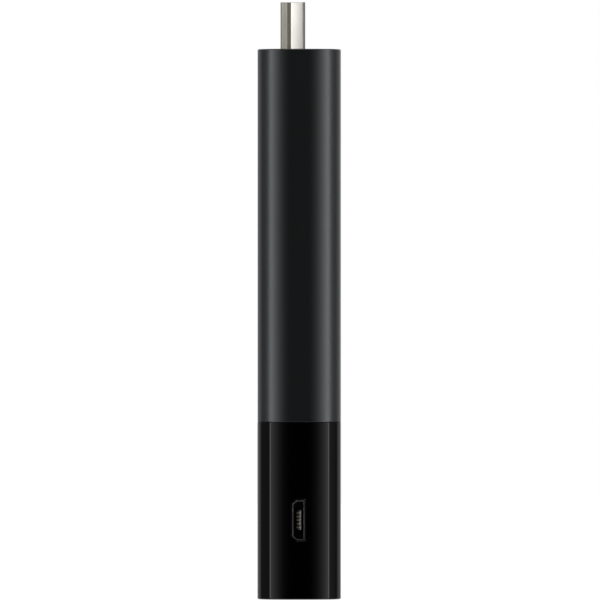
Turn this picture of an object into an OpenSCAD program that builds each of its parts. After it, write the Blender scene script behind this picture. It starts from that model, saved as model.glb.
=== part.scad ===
// Stick-shaped streaming media player.
// It stands on its gloss end cap, with the video plug pointing up.
// X runs through the thickness, Y across the width and Z along the length.
// The power socket opens in the narrow -Y side. Sizes are in millimetres.

/* [Casing] */
// Length of the casing, without the video plug
body_l = 99; // [98:0.5:101]
// Width of the casing
body_w = 30; // [30:0.5:31]
// Thickness of the casing
body_t = 15; // [15:0.1:15.5]
// Radius of the four long edges
corner_r = 6; // [5.5:0.1:6]
// Length of the matt sleeve, from the plug end
sleeve_l = 67.1; // [66:0.1:68]
// Wall thickness of the sleeve
sleeve_wall = 1.3; // [1.2:0.05:1.35]
// Wall thickness of the end cap
cap_wall = 1.4; // [1.3:0.05:1.45]
// Floor thickness of the end cap
cap_floor = 1.6; // [1.2:0.1:1.8]
// How far the end cap stands proud of the sleeve, on each side
cap_proud = 0.05; // [0:0.01:0.1]
// Width of the line between the sleeve and the end cap
seam_gap = 0.04; // [0.02:0.01:0.2]
// Chamfer on the outer end edges
edge_break = 0.3; // [0.2:0.1:0.5]

/* [Video plug] */
// Width of the plug's metal shell
plug_w = 13.9; // [13.8:0.05:13.95]
// Thickness of the plug's metal shell
plug_t = 4.45; // [4.4:0.01:4.5]
// How far the plug stands out of the casing
plug_out = 8.5; // [8.5:0.1:9]
// How far the plug sits behind the middle of the casing
plug_back = 1.15; // [1.1:0.01:1.2]
// Sheet thickness of the plug's shell
plug_sheet = 0.3; // [0.25:0.01:0.3]
// Distance between neighbouring contacts in one row
plug_pitch = 1; // [1:0.01:1.01]

/* [Power socket] */
// Width of the socket's metal shell, along the casing
socket_w = 7.3; // [7.2:0.1:7.5]
// Thickness of the socket's metal shell
socket_t = 2.4; // [2.35:0.01:2.45]
// Height of the socket's middle above the end face
socket_z = 14.3; // [14:0.1:14.6]
// How far the socket sits behind the middle of the casing
socket_back = 0.15; // [0.1:0.01:0.2]
// How far the socket's mouth is sunk below the outer face
socket_sunk = 0.25; // [0.2:0.05:0.4]
// Sheet thickness of the socket's shell
socket_sheet = 0.25; // [0.2:0.01:0.25]

/* [Circuit board] */
// Thickness of the circuit board
board_t = 1; // [0.8:0.1:1]
// Width of the circuit board
board_w = 22.6; // [22:0.1:22.6]
// Length of the circuit board
board_l = 88; // [87.5:0.1:88]
// Shank diameter of the board screws
screw_d = 1.6; // [1.4:0.1:1.6]

/* [Hidden] */

round_fn = 96;
cut = 1;                 // how far a cutting shape runs past the face it cuts
air = 0.02;              // gap between pieces that rest on each other
slide = 0.1;             // gap between plastic pieces that slide together

// Casing
seam_z = body_l - sleeve_l;
cap_top = seam_z - seam_gap / 2;
sleeve_bottom = seam_z + seam_gap / 2;
cap_t = body_t + 2 * cap_proud;
cap_w = body_w + 2 * cap_proud;
inner_t = body_t - 2 * sleeve_wall;
inner_w = body_w - 2 * sleeve_wall;
inner_r = corner_r - sleeve_wall;
snap_t = 0.9;            // thickness of the cap's two snap tongues
snap_w = 17;             // width of each snap tongue
snap_rise = 3.2;         // how far a tongue reaches into the sleeve
snap_root = 3.5;         // how far it runs down inside the cap
snap_bead_r = 0.35;
snap_bead_z = seam_z + 2.2;
rib_h = 0.5;             // ribs inside the sleeve that press on the heat spreaders
rib_w = 0.8;

// Plug
plug_x = -plug_back;
plug_top = body_l + plug_out;
plug_shell_bottom = body_l - 3.7;
plug_insulator_bottom = body_l - 4.5;
plug_insulator_top = plug_top - 0.6;
plug_narrow_w = 11.1;    // width of the shell's narrow face
plug_neck = 1.25;        // depth of the narrow part of the shell
plug_shoulder = 0.6;     // depth of the sloping shoulder
slot_t = 1.9;            // slot that takes the other half's tongue
slot_w = 9.9;
slot_bottom = body_l;
contact_t = 0.2;
contact_w = 0.35;
row_offset = 1.15;       // from the plug's middle plane to a contact's root
hinge_z = body_l - 0.4;  // where a contact starts to flex
bump_offset = 0.7;       // from the middle plane to a contact's touching point
bump_z = plug_top - 2.5;
tip_offset = 0.95;
tip_z = plug_top - 1.3;
groove_depth = 1.55;     // from the middle plane to the bottom of a contact's groove
groove_w = 0.5;
groove_top = plug_top - 1.1;
front_contacts = 10;
rear_contacts = 9;
plug_outline = [
    [-plug_t / 2, -plug_narrow_w / 2],
    [-plug_t / 2 + plug_neck, -plug_narrow_w / 2],
    [-plug_t / 2 + plug_neck + plug_shoulder, -plug_w / 2],
    [plug_t / 2, -plug_w / 2],
    [plug_t / 2, plug_w / 2],
    [-plug_t / 2 + plug_neck + plug_shoulder, plug_w / 2],
    [-plug_t / 2 + plug_neck, plug_narrow_w / 2],
    [-plug_t / 2, plug_narrow_w / 2]
];

// Socket
socket_x = -socket_back;
socket_mouth_y = -cap_w / 2 + socket_sunk;
socket_depth = 5.5;
socket_back_y = socket_mouth_y + socket_depth;
socket_outline = [
    [-socket_t / 2, -socket_w / 2 + 0.7],
    [-socket_t / 2 + 0.8, -socket_w / 2],
    [socket_t / 2, -socket_w / 2],
    [socket_t / 2, socket_w / 2],
    [-socket_t / 2 + 0.8, socket_w / 2],
    [-socket_t / 2, socket_w / 2 - 0.7]
];
tongue_w = 3.5;
tongue_rear = -0.18;     // the tongue's two faces, measured from the socket's middle
tongue_front = 0.5;
tongue_tip_y = socket_mouth_y + 0.5;
tongue_root_y = socket_mouth_y + 3.6;
socket_contact_w = 0.25;
socket_contact_t = 0.12;
socket_pitch = 0.65;

// Board
board_front = socket_x - socket_t / 2 - 0.05;
board_rear = board_front - board_t;
board_bottom = 5.5;
board_top = board_bottom + board_l;
tab_out = 1.9;           // the board's tab under the socket
tab_h = 9.6;
screw_y = 9.8;
screw_z = [34.2, 87];
screw_hole_r = screw_d / 2 + 0.15;
screw_head_r = 1.45;
screw_head_t = 0.8;
screw_l = 3.2;           // under the head
boss_r = 1.9;
boss_rear = -5;

// Tray
tray_rear = -4.4;
tray_front = 3.5;
tray_bottom = 3;
tray_step = seam_z + snap_rise + 1;
tray_top = body_l - 2.7;
bar_in = 8.6;            // inner edge of the two long bars behind the board
rail_in = board_w / 2 + 0.25;

// Thermal stack
fence_t = 0.2;
front_fence_h = 1.9;
rear_fence_h = 1.6;
radio_can_h = 1.7;
lid_t = 0.2;
lid_front = board_front + front_fence_h + lid_t + air;
lid_rear = board_rear - rear_fence_h - lid_t - air;
spreader_front = body_t / 2 - sleeve_wall - rib_h - 0.1;
spreader_rear = -spreader_front;
spreader_t = 0.7;
cpu_z = 57;
cpu_side = 13;
cpu_t = 1.1;
pedestal_side = 14;
memory_z = 71.5;
front_can_z = [47.5, 79.5];
front_can_w = 17;
rear_can_z = [44, 76];
rear_can_w = 16.4;
radio_can_z = [23, 38];
radio_can_w = 14;

// ---- Shared shapes ----

function unit(v) = v / norm(v);
function left_normal(a, b) = unit([a.y - b.y, b.x - a.x]);

// Points of a polygon whose sides have all moved inwards by g
function inset(pts, g) = [
    for (i = [0 : len(pts) - 1])
        let (
            before = pts[(i + len(pts) - 1) % len(pts)],
            after = pts[(i + 1) % len(pts)],
            n1 = left_normal(before, pts[i]),
            n2 = left_normal(pts[i], after)
        )
        pts[i] + g * (n1 + n2) / (1 + n1 * n2)
];

// Closed strip of thickness t that follows a list of points
function strip(path, t) = concat(
    [for (i = [0 : len(path) - 1]) strip_side(path, i, t / 2)],
    [for (i = [len(path) - 1 : -1 : 0]) strip_side(path, i, -t / 2)]
);
function strip_side(path, i, half) =
    let (
        n1 = left_normal(path[max(i - 1, 0)], path[max(i, 1)]),
        n2 = left_normal(path[min(i, len(path) - 2)], path[min(i + 1, len(path) - 1)])
    )
    path[i] + half * (n1 + n2) / (1 + n1 * n2);

module box_between(low, high) {
    translate(low)
        cube(high - low);
}

// Rounded rectangle, t along X and w along Y
module rounded_section(t, w, r) {
    square([t, w - 2 * r], center = true);
    square([t - 2 * r, w], center = true);
    for (sx = [-1, 1], sy = [-1, 1])
        translate([sx * (t / 2 - r), sy * (w / 2 - r)])
            circle(r, $fn = round_fn);
}

// Upright rounded bar from z = 0 to h, with a chamfer round its lower edge
module chamfered_bar(t, w, r, h, c) {
    for (sx = [-1, 1], sy = [-1, 1])
        translate([sx * (t / 2 - r), sy * (w / 2 - r), 0])
            rotate_extrude($fn = round_fn)
                polygon([[0, 0], [r - c, 0], [r, c], [r, h], [0, h]]);
    translate([0, w / 2 - r, 0])
        rotate([90, 0, 0])
            linear_extrude(w - 2 * r)
                polygon([[-t / 2 + c, 0], [t / 2 - c, 0], [t / 2, c], [t / 2, h], [-t / 2, h], [-t / 2, c]]);
    translate([-t / 2 + r, 0, 0])
        rotate([90, 0, 90])
            linear_extrude(t - 2 * r)
                polygon([[-w / 2 + c, 0], [w / 2 - c, 0], [w / 2, c], [w / 2, h], [-w / 2, h], [-w / 2, c]]);
}

// Stands a profile drawn in X and Z upright, w thick along Y and centred on y
module upright_strip(profile, w, y) {
    translate([0, y + w / 2, 0])
        rotate([90, 0, 0])
            linear_extrude(w)
                polygon(profile);
}

// Lays a profile drawn in X and Z along Y, from y0 to y1
module along_y(profile, y0, y1) {
    translate([0, y1, 0])
        rotate([90, 0, 0])
            linear_extrude(y1 - y0)
                polygon(profile);
}

function row_y(count, i) = (i - (count - 1) / 2) * plug_pitch;

// A chip on the board's front (side = 1) or rear (side = -1) face, centred on [y, z]
module chip(side, y, z, w, h, t) {
    face = side > 0 ? board_front + air : board_rear - air - t;
    translate([face, y - w / 2, z - h / 2])
        cube([t, w, h]);
}

// ---- Casing ----

module outer_sleeve() {
    color("#2b2d2f")
        difference() {
            union() {
                difference() {
                    translate([0, 0, body_l])
                        mirror([0, 0, 1])
                            chamfered_bar(body_t, body_w, corner_r, body_l - sleeve_bottom, edge_break);
                    translate([0, 0, sleeve_bottom - cut])
                        linear_extrude(body_l - sleeve_wall - sleeve_bottom + cut)
                            rounded_section(inner_t, inner_w, inner_r);
                }
                for (sx = [-1, 1], sy = [-1, 1])
                    sleeve_rib(sx, sy);
            }
            translate([plug_x, 0, body_l - sleeve_wall - cut])
                linear_extrude(sleeve_wall + 2 * cut)
                    polygon(inset(plug_outline, -slide));
            for (sx = [-1, 1])
                snap_bead(sx, snap_bead_r + slide, snap_w - 2);
        }
}

module sleeve_rib(sx, sy) {
    rib_x = inner_t / 2 - rib_h;
    rib_y = 7.6;
    translate([sx > 0 ? rib_x : -rib_x - rib_h - 0.2, sy * rib_y - rib_w / 2, 40])
        cube([rib_h + 0.2, rib_w, 48]);
}

module snap_bead(sx, r, w) {
    translate([sx * (inner_t / 2 - slide), 0, snap_bead_z])
        rotate([90, 0, 0])
            cylinder(h = w, r = r, center = true, $fn = 32);
}

module end_cap() {
    color("#0a0a0b")
        difference() {
            union() {
                difference() {
                    chamfered_bar(cap_t, cap_w, corner_r + cap_proud, cap_top, edge_break);
                    translate([0, 0, cap_floor])
                        linear_extrude(cap_top)
                            rounded_section(cap_t - 2 * cap_wall, cap_w - 2 * cap_wall, corner_r - cap_wall);
                }
                for (sx = [-1, 1])
                    cap_snap(sx);
                for (sy = [-1, 1])
                    box_between(
                        [tray_rear - 0.2, sy * 6 - 1, cap_floor - 0.2],
                        [board_rear + 0.2, sy * 6 + 1, tray_bottom - slide]
                    );
            }
            translate([socket_x, 0, socket_z])
                along_y(inset(socket_outline, -slide), -cap_w / 2 - cut, -cap_w / 2 + cap_wall + cut);
        }
}

module cap_snap(sx) {
    outer = inner_t / 2 - slide;
    root_out = cap_t / 2 - cap_wall + 0.2;
    box_between(
        [sx > 0 ? outer - snap_t : -outer, -snap_w / 2, cap_top - snap_root],
        [sx > 0 ? outer : -outer + snap_t, snap_w / 2, seam_z + snap_rise]
    );
    box_between(
        [sx > 0 ? outer - snap_t : -root_out, -snap_w / 2, cap_top - snap_root],
        [sx > 0 ? root_out : -outer + snap_t, snap_w / 2, cap_top]
    );
    snap_bead(sx, snap_bead_r, snap_w - 3);
}

module inner_tray() {
    board_gap = board_rear - air;
    color("#1d1e20")
        difference() {
            union() {
                intersection() {
                    tray_rails(board_gap);
                    translate([0, 0, -cut])
                        linear_extrude(body_l)
                            rounded_section(inner_t - 2 * slide, inner_w - 2 * slide, inner_r - slide);
                }
                for (sy = [-1, 1], z = screw_z)
                    translate([boss_rear, sy * screw_y, z])
                        rotate([0, 90, 0])
                            cylinder(h = board_gap - boss_rear, r = boss_r, $fn = 48);
            }
            for (sy = [-1, 1], z = screw_z)
                translate([boss_rear - cut, sy * screw_y, z])
                    rotate([0, 90, 0])
                        cylinder(h = board_gap - boss_rear + 2 * cut, r = screw_d / 2 + air, $fn = 48);
        }
}

module tray_rails(board_gap) {
    edge = board_w / 2;
    for (side = [0, 1])
        mirror([0, side, 0]) {
            box_between([tray_rear, bar_in, tray_bottom], [board_gap, edge, tray_step + 1]);
            box_between([tray_rear, bar_in, tray_step], [board_gap, inner_w / 2, tray_top]);
            box_between([tray_rear, rail_in, tray_step], [tray_front, inner_w / 2, tray_top]);
            box_between([tray_rear, plug_w / 2 + 0.5, board_top + 0.2], [tray_front, inner_w / 2, tray_top]);
        }
    for (z = [tray_bottom, tray_step, board_top - 5])
        box_between([tray_rear, -bar_in - 0.5, z], [board_gap, bar_in + 0.5, z + 1.6]);
}

module board_screws() {
    color("#8d9095")
        for (sy = [-1, 1], z = screw_z)
            translate([board_front + air, sy * screw_y, z])
                rotate([0, 90, 0])
                    board_screw();
}

// Pan-head screw with a cross recess, its head's underside at z = 0
module board_screw() {
    difference() {
        union() {
            cylinder(h = screw_head_t, r = screw_head_r, $fn = 48);
            translate([0, 0, -screw_l])
                cylinder(h = screw_l, r = screw_d / 2, $fn = 48);
        }
        for (turn = [0, 90])
            rotate([0, 0, turn])
                translate([-0.8, -0.15, screw_head_t - 0.4])
                    cube([1.6, 0.3, 1]);
    }
}

// ---- Video plug ----

module plug_shell() {
    latch_w = 2.2;
    latch_h = 1.4;
    color("#c9c7c2")
        translate([plug_x, 0, 0])
            difference() {
                union() {
                    translate([0, 0, plug_shell_bottom])
                        linear_extrude(plug_top - plug_shell_bottom)
                            polygon(plug_outline);
                    for (sy = [-1, 1])
                        translate([-1.6, sy * (plug_w / 2 - plug_sheet / 2) - plug_sheet / 2, board_top - 2.2])
                            cube([2.6, plug_sheet, plug_shell_bottom - board_top + 2.7]);
                }
                translate([0, 0, plug_shell_bottom - cut])
                    linear_extrude(plug_top)
                        polygon(inset(plug_outline, plug_sheet));
                for (sy = [-1, 1])
                    translate([-plug_t, sy * 3 - latch_w / 2, plug_top - 5.2])
                        cube([2 * plug_t, latch_w, latch_h]);
            }
}

module plug_insulator() {
    color("#151515")
        translate([plug_x, 0, 0])
            difference() {
                translate([0, 0, plug_insulator_bottom])
                    linear_extrude(plug_insulator_top - plug_insulator_bottom)
                        polygon(inset(plug_outline, plug_sheet + air));
                translate([-slot_t / 2, -slot_w / 2, slot_bottom])
                    cube([slot_t, slot_w, plug_out]);
                for (i = [0 : front_contacts - 1])
                    contact_channel(1, row_y(front_contacts, i));
                for (i = [0 : rear_contacts - 1])
                    contact_channel(-1, row_y(rear_contacts, i));
            }
}

// Groove for a contact's spring, and the channel below it for the contact's tail
module contact_channel(side, y) {
    spare = 0.03;
    box_between(
        [side > 0 ? 0.5 : -groove_depth, y - groove_w / 2, hinge_z],
        [side > 0 ? groove_depth : -0.5, y + groove_w / 2, groove_top]
    );
    translate([side * row_offset, y, (hinge_z + plug_insulator_bottom) / 2])
        cube([contact_t + 2 * spare, contact_w + 2 * spare, hinge_z - plug_insulator_bottom + cut], center = true);
}

// Spring end of a contact: it leans in to its touching point and flares out at its tip
module contact_spring(side, y) {
    path = [
        [side * row_offset, hinge_z + air],
        [side * row_offset, hinge_z + 1],
        [side * bump_offset, bump_z],
        [side * tip_offset, tip_z]
    ];
    upright_strip(strip(path, contact_t), contact_w, y);
}

module plug_springs_front() {
    color("#c9a24a")
        translate([plug_x, 0, 0])
            for (i = [0 : front_contacts - 1])
                contact_spring(1, row_y(front_contacts, i));
}

module plug_springs_rear() {
    color("#c9a24a")
        translate([plug_x, 0, 0])
            for (i = [0 : rear_contacts - 1])
                contact_spring(-1, row_y(rear_contacts, i));
}

// Fixed end of a contact: it runs back through the insulator to its pad on the board
module contact_tail(side, y) {
    pad_x = side > 0 ? board_front + air + contact_t / 2 : board_rear - air - contact_t / 2;
    path = [
        [plug_x + side * row_offset, hinge_z - air],
        [plug_x + side * row_offset, plug_insulator_bottom - 0.1],
        [pad_x, board_top + 0.1],
        [pad_x, board_top - 2.4]
    ];
    upright_strip(strip(path, contact_t), contact_w, y);
}

module plug_tails_front() {
    color("#c9a24a")
        for (i = [0 : front_contacts - 1])
            contact_tail(1, row_y(front_contacts, i));
}

module plug_tails_rear() {
    color("#c9a24a")
        for (i = [0 : rear_contacts - 1])
            contact_tail(-1, row_y(rear_contacts, i));
}

// Foam frame between the plug and the sleeve's end wall
module plug_gasket() {
    color("#3a3a3c")
        translate([plug_x, 0, tray_top + 0.2])
            linear_extrude(body_l - sleeve_wall - tray_top - 0.25)
                difference() {
                    square([7.2, 17], center = true);
                    polygon(inset(plug_outline, -0.06));
                }
}

// ---- Power socket ----

module socket_shell() {
    foot_out = 0.45;
    color("#b9bbbd")
        difference() {
            union() {
                translate([socket_x, 0, socket_z])
                    along_y(socket_outline, socket_mouth_y, socket_back_y);
                for (sz = [-1, 1], y = [2.3, 4.1])
                    translate([board_front + air, socket_mouth_y + y, socket_z + sz * socket_w / 2 - foot_out])
                        cube([0.7, 1.1, 2 * foot_out]);
            }
            translate([socket_x, 0, socket_z])
                along_y(inset(socket_outline, socket_sheet), socket_mouth_y - cut, socket_back_y + cut);
        }
}

module socket_tongue() {
    color("#1a1a1a")
        difference() {
            union() {
                translate([socket_x, 0, socket_z])
                    along_y(inset(socket_outline, socket_sheet + air), tongue_root_y, socket_back_y - 0.05);
                box_between(
                    [socket_x + tongue_rear, tongue_tip_y, socket_z - tongue_w / 2],
                    [socket_x + tongue_front, tongue_root_y + cut, socket_z + tongue_w / 2]
                );
            }
            for (i = [-2 : 2])
                translate([socket_x + tongue_rear - socket_contact_t / 2 - air, 0, socket_z + i * socket_pitch])
                    cube([socket_contact_t + 2 * air, 40, socket_contact_w + 2 * air], center = true);
        }
}

module socket_contacts() {
    color("#c9a24a")
        for (i = [-2 : 2])
            translate([socket_x, 0, socket_z + i * socket_pitch - socket_contact_w / 2])
                linear_extrude(socket_contact_w)
                    polygon(strip(socket_contact_path(), socket_contact_t));
}

// A contact's line, in X and Y: over the tongue's tip, along its rear face and down to the board
function socket_contact_path() =
    let (
        face_x = tongue_rear - socket_contact_t / 2 - air,
        tip_y = tongue_tip_y - socket_contact_t / 2 - air,
        pad_x = board_front - socket_x + socket_contact_t / 2 + air
    )
    [
        [tongue_front - 0.2, tip_y],
        [face_x, tip_y],
        [face_x, socket_back_y + 0.15],
        [pad_x, socket_back_y + 0.35],
        [pad_x, socket_back_y + 1.2]
    ];

// ---- Circuit board and what is soldered to it ----

module circuit_board() {
    notch_w = 0.7;
    notch_l = 2.6;
    color("#12351f")
        difference() {
            union() {
                box_between(
                    [board_rear, -board_w / 2, board_bottom],
                    [board_front, board_w / 2, board_top]
                );
                box_between(
                    [board_rear, -board_w / 2 - tab_out, socket_z - tab_h / 2],
                    [board_front, 0, socket_z + tab_h / 2]
                );
            }
            for (sy = [-1, 1], z = screw_z)
                translate([board_rear - cut, sy * screw_y, z])
                    rotate([0, 90, 0])
                        cylinder(h = board_t + 2 * cut, r = screw_hole_r, $fn = 48);
            for (sy = [-1, 1])
                translate([0, sy * (plug_w - plug_sheet) / 2, board_top - notch_l / 2 + cut / 2])
                    cube([10, notch_w, notch_l + cut], center = true);
        }
}

module main_processor() {
    color("#26282b") {
        chip(1, 0, cpu_z, cpu_side, cpu_side, 0.5);
        translate([0.5, 0, 0])
            chip(1, 0, cpu_z, cpu_side - 1.6, cpu_side - 1.6, cpu_t - 0.5);
    }
}

module memory_chip() {
    color("#1c1d1f")
        chip(1, 0, memory_z, 12, 10, 0.9);
}

module storage_chip() {
    color("#1c1d1f")
        chip(-1, 0, 60, 11.5, 13, 1);
}

module power_chip() {
    color("#202124")
        chip(1, -4.2, 84.2, 5, 5, 0.8);
}

module radio_chip() {
    color("#202124")
        chip(1, 1.2, 30.5, 8, 8, 0.8);
}

module crystals() {
    color("#b5b7b9") {
        chip(1, -4.9, 30.5, 2, 2.5, 0.7);
        chip(1, 6.2, 43.5, 2.5, 3.2, 0.8);
    }
}

module power_inductors() {
    color("#3b3c40")
        for (place = [[2.2, 83], [6, 83], [-2.5, 19.5], [2.5, 19.5]])
            chip(1, place.x, place.y, 3, 3, 1.2);
}

module ceramic_capacitors() {
    color("#a98d6a") {
        for (side = [-1, 1], i = [0 : 8])
            chip(side, 4.4 - i * 1.1, side > 0 ? 42 : 79.5, 0.5, 1, 0.5);
        for (i = [0 : 7])
            chip(1, 7.7, 49.5 + i * 1.9, 0.6, 1, 0.5);
        for (i = [0 : 7])
            chip(1, -7.7, 49.5 + i * 1.9, 0.6, 1, 0.5);
        for (i = [0 : 5])
            chip(-1, 7.2, 50 + i * 2.2, 0.6, 1.2, 0.6);
        for (i = [0 : 3])
            chip(1, 6.4 + 1.2 * (i % 2), 14 + 2.2 * floor(i / 2), 0.8, 1.6, 0.8);
    }
}

module chip_resistors() {
    color("#17181a") {
        for (i = [0 : 7])
            chip(1, 3.9 - i * 1.1, 45, 0.5, 1, 0.35);
        for (i = [0 : 5])
            chip(-1, -7.2, 50 + i * 2.2, 0.6, 1.2, 0.35);
        for (i = [0 : 4])
            chip(1, -3 + i * 1.5, 12, 0.5, 1, 0.35);
    }
}

module surge_protectors() {
    color("#1c1d1f")
        for (i = [-1 : 1])
            chip(1, i * 3, 89.6, 2.5, 1, 0.5);
}

// Open frame of folded sheet round the chips, on the board's front or rear face
module shield_fence(side, w, z, h) {
    x_low = side > 0 ? board_front + air : board_rear - air - h;
    difference() {
        box_between([x_low, -w / 2, z[0]], [x_low + h, w / 2, z[1]]);
        box_between(
            [x_low - cut, -w / 2 + fence_t, z[0] + fence_t],
            [x_low + h + cut, w / 2 - fence_t, z[1] - fence_t]
        );
    }
}

module front_shield_fence() {
    color("#aeb0b3")
        shield_fence(1, front_can_w, front_can_z, front_fence_h);
}

module front_shield_lid() {
    color("#c2c4c6")
        box_between(
            [lid_front - lid_t + air, -front_can_w / 2, front_can_z[0]],
            [lid_front + air, front_can_w / 2, front_can_z[1]]
        );
}

module rear_shield_fence() {
    color("#aeb0b3")
        shield_fence(-1, rear_can_w, rear_can_z, rear_fence_h);
}

module rear_shield_lid() {
    color("#c2c4c6")
        box_between(
            [lid_rear - air, -rear_can_w / 2, rear_can_z[0]],
            [lid_rear + lid_t - air, rear_can_w / 2, rear_can_z[1]]
        );
}

// One-piece can over the radio chip
module radio_shield_can() {
    color("#b8babd")
        difference() {
            box_between(
                [board_front + air, -radio_can_w / 2, radio_can_z[0]],
                [board_front + air + radio_can_h, radio_can_w / 2, radio_can_z[1]]
            );
            box_between(
                [board_front - cut, -radio_can_w / 2 + fence_t, radio_can_z[0] + fence_t],
                [board_front + air + radio_can_h - lid_t, radio_can_w / 2 - fence_t, radio_can_z[1] - fence_t]
            );
        }
}

// ---- Antennas ----

carrier_low = [board_front + 0.1, -11, cap_floor + 0.4];
carrier_high = [4.6, 11, 8.6];

module antenna_carrier() {
    color("#d8d6cf")
        difference() {
            box_between(carrier_low, carrier_high);
            box_between(
                [carrier_low.x + 1, carrier_low.y + 1.2, carrier_low.z + 1.2],
                [carrier_high.x - 1, carrier_high.y - 1.2, carrier_high.z + cut]
            );
        }
}

// Inverted-F pattern, drawn in Y and Z, starting at the middle of the casing
module antenna_pattern() {
    difference() {
        translate([1, carrier_low.z + 0.4])
            square([9.6, carrier_high.z - carrier_low.z - 0.2]);
        translate([2.2, carrier_low.z + 1.4])
            square([1.4, 5]);
        translate([2.2, carrier_low.z + 4.4])
            square([7, 0.9]);
        translate([4.8, carrier_low.z + 1.4])
            square([6, 1.9]);
    }
}

module antenna() {
    sheet = 0.15;
    foot_w = 1.4;
    face = carrier_high.x + air;
    translate([face, 0, 0])
        rotate([90, 0, 90])
            linear_extrude(sheet)
                antenna_pattern();
    box_between([0.2, 1, carrier_high.z + air], [face + sheet, 1 + foot_w, carrier_high.z + 0.2]);
    box_between([0.2, 1, carrier_high.z + air], [0.2 + sheet, 1 + foot_w, carrier_high.z + 1.2]);
}

module antenna_right() {
    color("#c58a52")
        antenna();
}

module antenna_left() {
    color("#c58a52")
        mirror([0, 1, 0])
            antenna();
}

module antenna_feed_springs() {
    color("#c9a24a")
        for (side = [0, 1])
            mirror([0, side, 0])
                upright_strip(
                    strip(
                        [
                            [board_front + 0.1, carrier_high.z + 1.9],
                            [board_front + 0.1, carrier_high.z + 0.5],
                            [board_front + 0.7, carrier_high.z + 0.3],
                            [0.1, carrier_high.z + 0.8]
                        ],
                        0.12
                    ),
                    1,
                    1.7
                );
}

// ---- Heat path ----

module processor_pad() {
    color("#8fb0c4")
        box_between(
            [board_front + cpu_t + 2 * air, -5, cpu_z - 5],
            [lid_front - lid_t, 5, cpu_z + 5]
        );
}

module front_thermal_pad() {
    color("#8fb0c4")
        box_between(
            [lid_front + 2 * air, -pedestal_side / 2, cpu_z - pedestal_side / 2],
            [lid_front + 1, pedestal_side / 2, cpu_z + pedestal_side / 2]
        );
}

module front_heat_spreader() {
    color("#b9bcc0") {
        box_between(
            [spreader_front - spreader_t, -9.5, 40.5],
            [spreader_front, 9.5, 90]
        );
        box_between(
            [lid_front + 1 + air, -pedestal_side / 2, cpu_z - pedestal_side / 2],
            [spreader_front - spreader_t / 2, pedestal_side / 2, cpu_z + pedestal_side / 2]
        );
    }
}

module rear_thermal_pad() {
    color("#8fb0c4")
        box_between(
            [spreader_rear + spreader_t + air, -6, 54],
            [lid_rear - 2 * air, 6, 66]
        );
}

module rear_heat_spreader() {
    color("#b9bcc0")
        box_between(
            [spreader_rear, -9.5, 40.5],
            [spreader_rear + spreader_t, 9.5, 82]
        );
}

outer_sleeve();
end_cap();
inner_tray();
board_screws();
plug_shell();
plug_insulator();
plug_springs_front();
plug_springs_rear();
plug_tails_front();
plug_tails_rear();
plug_gasket();
socket_shell();
socket_tongue();
socket_contacts();
circuit_board();
main_processor();
memory_chip();
storage_chip();
power_chip();
radio_chip();
crystals();
power_inductors();
ceramic_capacitors();
chip_resistors();
surge_protectors();
front_shield_fence();
front_shield_lid();
rear_shield_fence();
rear_shield_lid();
radio_shield_can();
antenna_carrier();
antenna_left();
antenna_right();
antenna_feed_springs();
processor_pad();
front_thermal_pad();
front_heat_spreader();
rear_thermal_pad();
rear_heat_spreader();
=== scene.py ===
"""Looks of a stick-shaped streaming media player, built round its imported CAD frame.

The player stands on its gloss end cap with the video plug pointing up. X runs through its
thickness, Y across its width and Z along its length. Every length below is in metres.
"""

import logging
import math
from dataclasses import dataclass, field
from enum import Enum
from itertools import product
from typing import Iterable, Optional, Sequence, Union

import bmesh
import bpy
from mathutils import Matrix, Vector


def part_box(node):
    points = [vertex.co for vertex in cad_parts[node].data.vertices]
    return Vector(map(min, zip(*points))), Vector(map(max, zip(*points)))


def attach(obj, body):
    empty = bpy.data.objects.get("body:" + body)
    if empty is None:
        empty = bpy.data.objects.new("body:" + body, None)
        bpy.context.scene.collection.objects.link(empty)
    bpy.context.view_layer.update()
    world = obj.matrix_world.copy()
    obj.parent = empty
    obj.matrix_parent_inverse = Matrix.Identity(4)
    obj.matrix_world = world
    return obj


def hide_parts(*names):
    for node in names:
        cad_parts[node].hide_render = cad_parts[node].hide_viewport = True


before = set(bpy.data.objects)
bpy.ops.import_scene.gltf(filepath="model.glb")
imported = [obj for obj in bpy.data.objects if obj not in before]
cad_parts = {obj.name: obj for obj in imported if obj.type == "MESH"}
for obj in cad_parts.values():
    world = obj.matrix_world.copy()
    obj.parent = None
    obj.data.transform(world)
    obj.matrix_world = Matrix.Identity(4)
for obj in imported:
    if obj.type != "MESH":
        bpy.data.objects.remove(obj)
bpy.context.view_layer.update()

MM = 0.001
SHEET_SHARP = 28.0
CONTACT_SHARP = 40.0
LOG = logging.getLogger("media_player")

Ring = list[Vector]
Pair = tuple[float, float]
Point = Pair
Colour = tuple[float, float, float]
Skin = bmesh.types.BMesh
Piece = bpy.types.Object
Socket = bpy.types.NodeSocket
Value = Union[Socket, float, Sequence[float]]


class Body(Enum):
    """The CAD bodies that pieces ride on."""

    CASING = "casing"
    FRONT_SPRINGS = "front_contact_springs"
    REAR_SPRINGS = "rear_contact_springs"


# ---------------------------------------------------------------- node graphs


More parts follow.
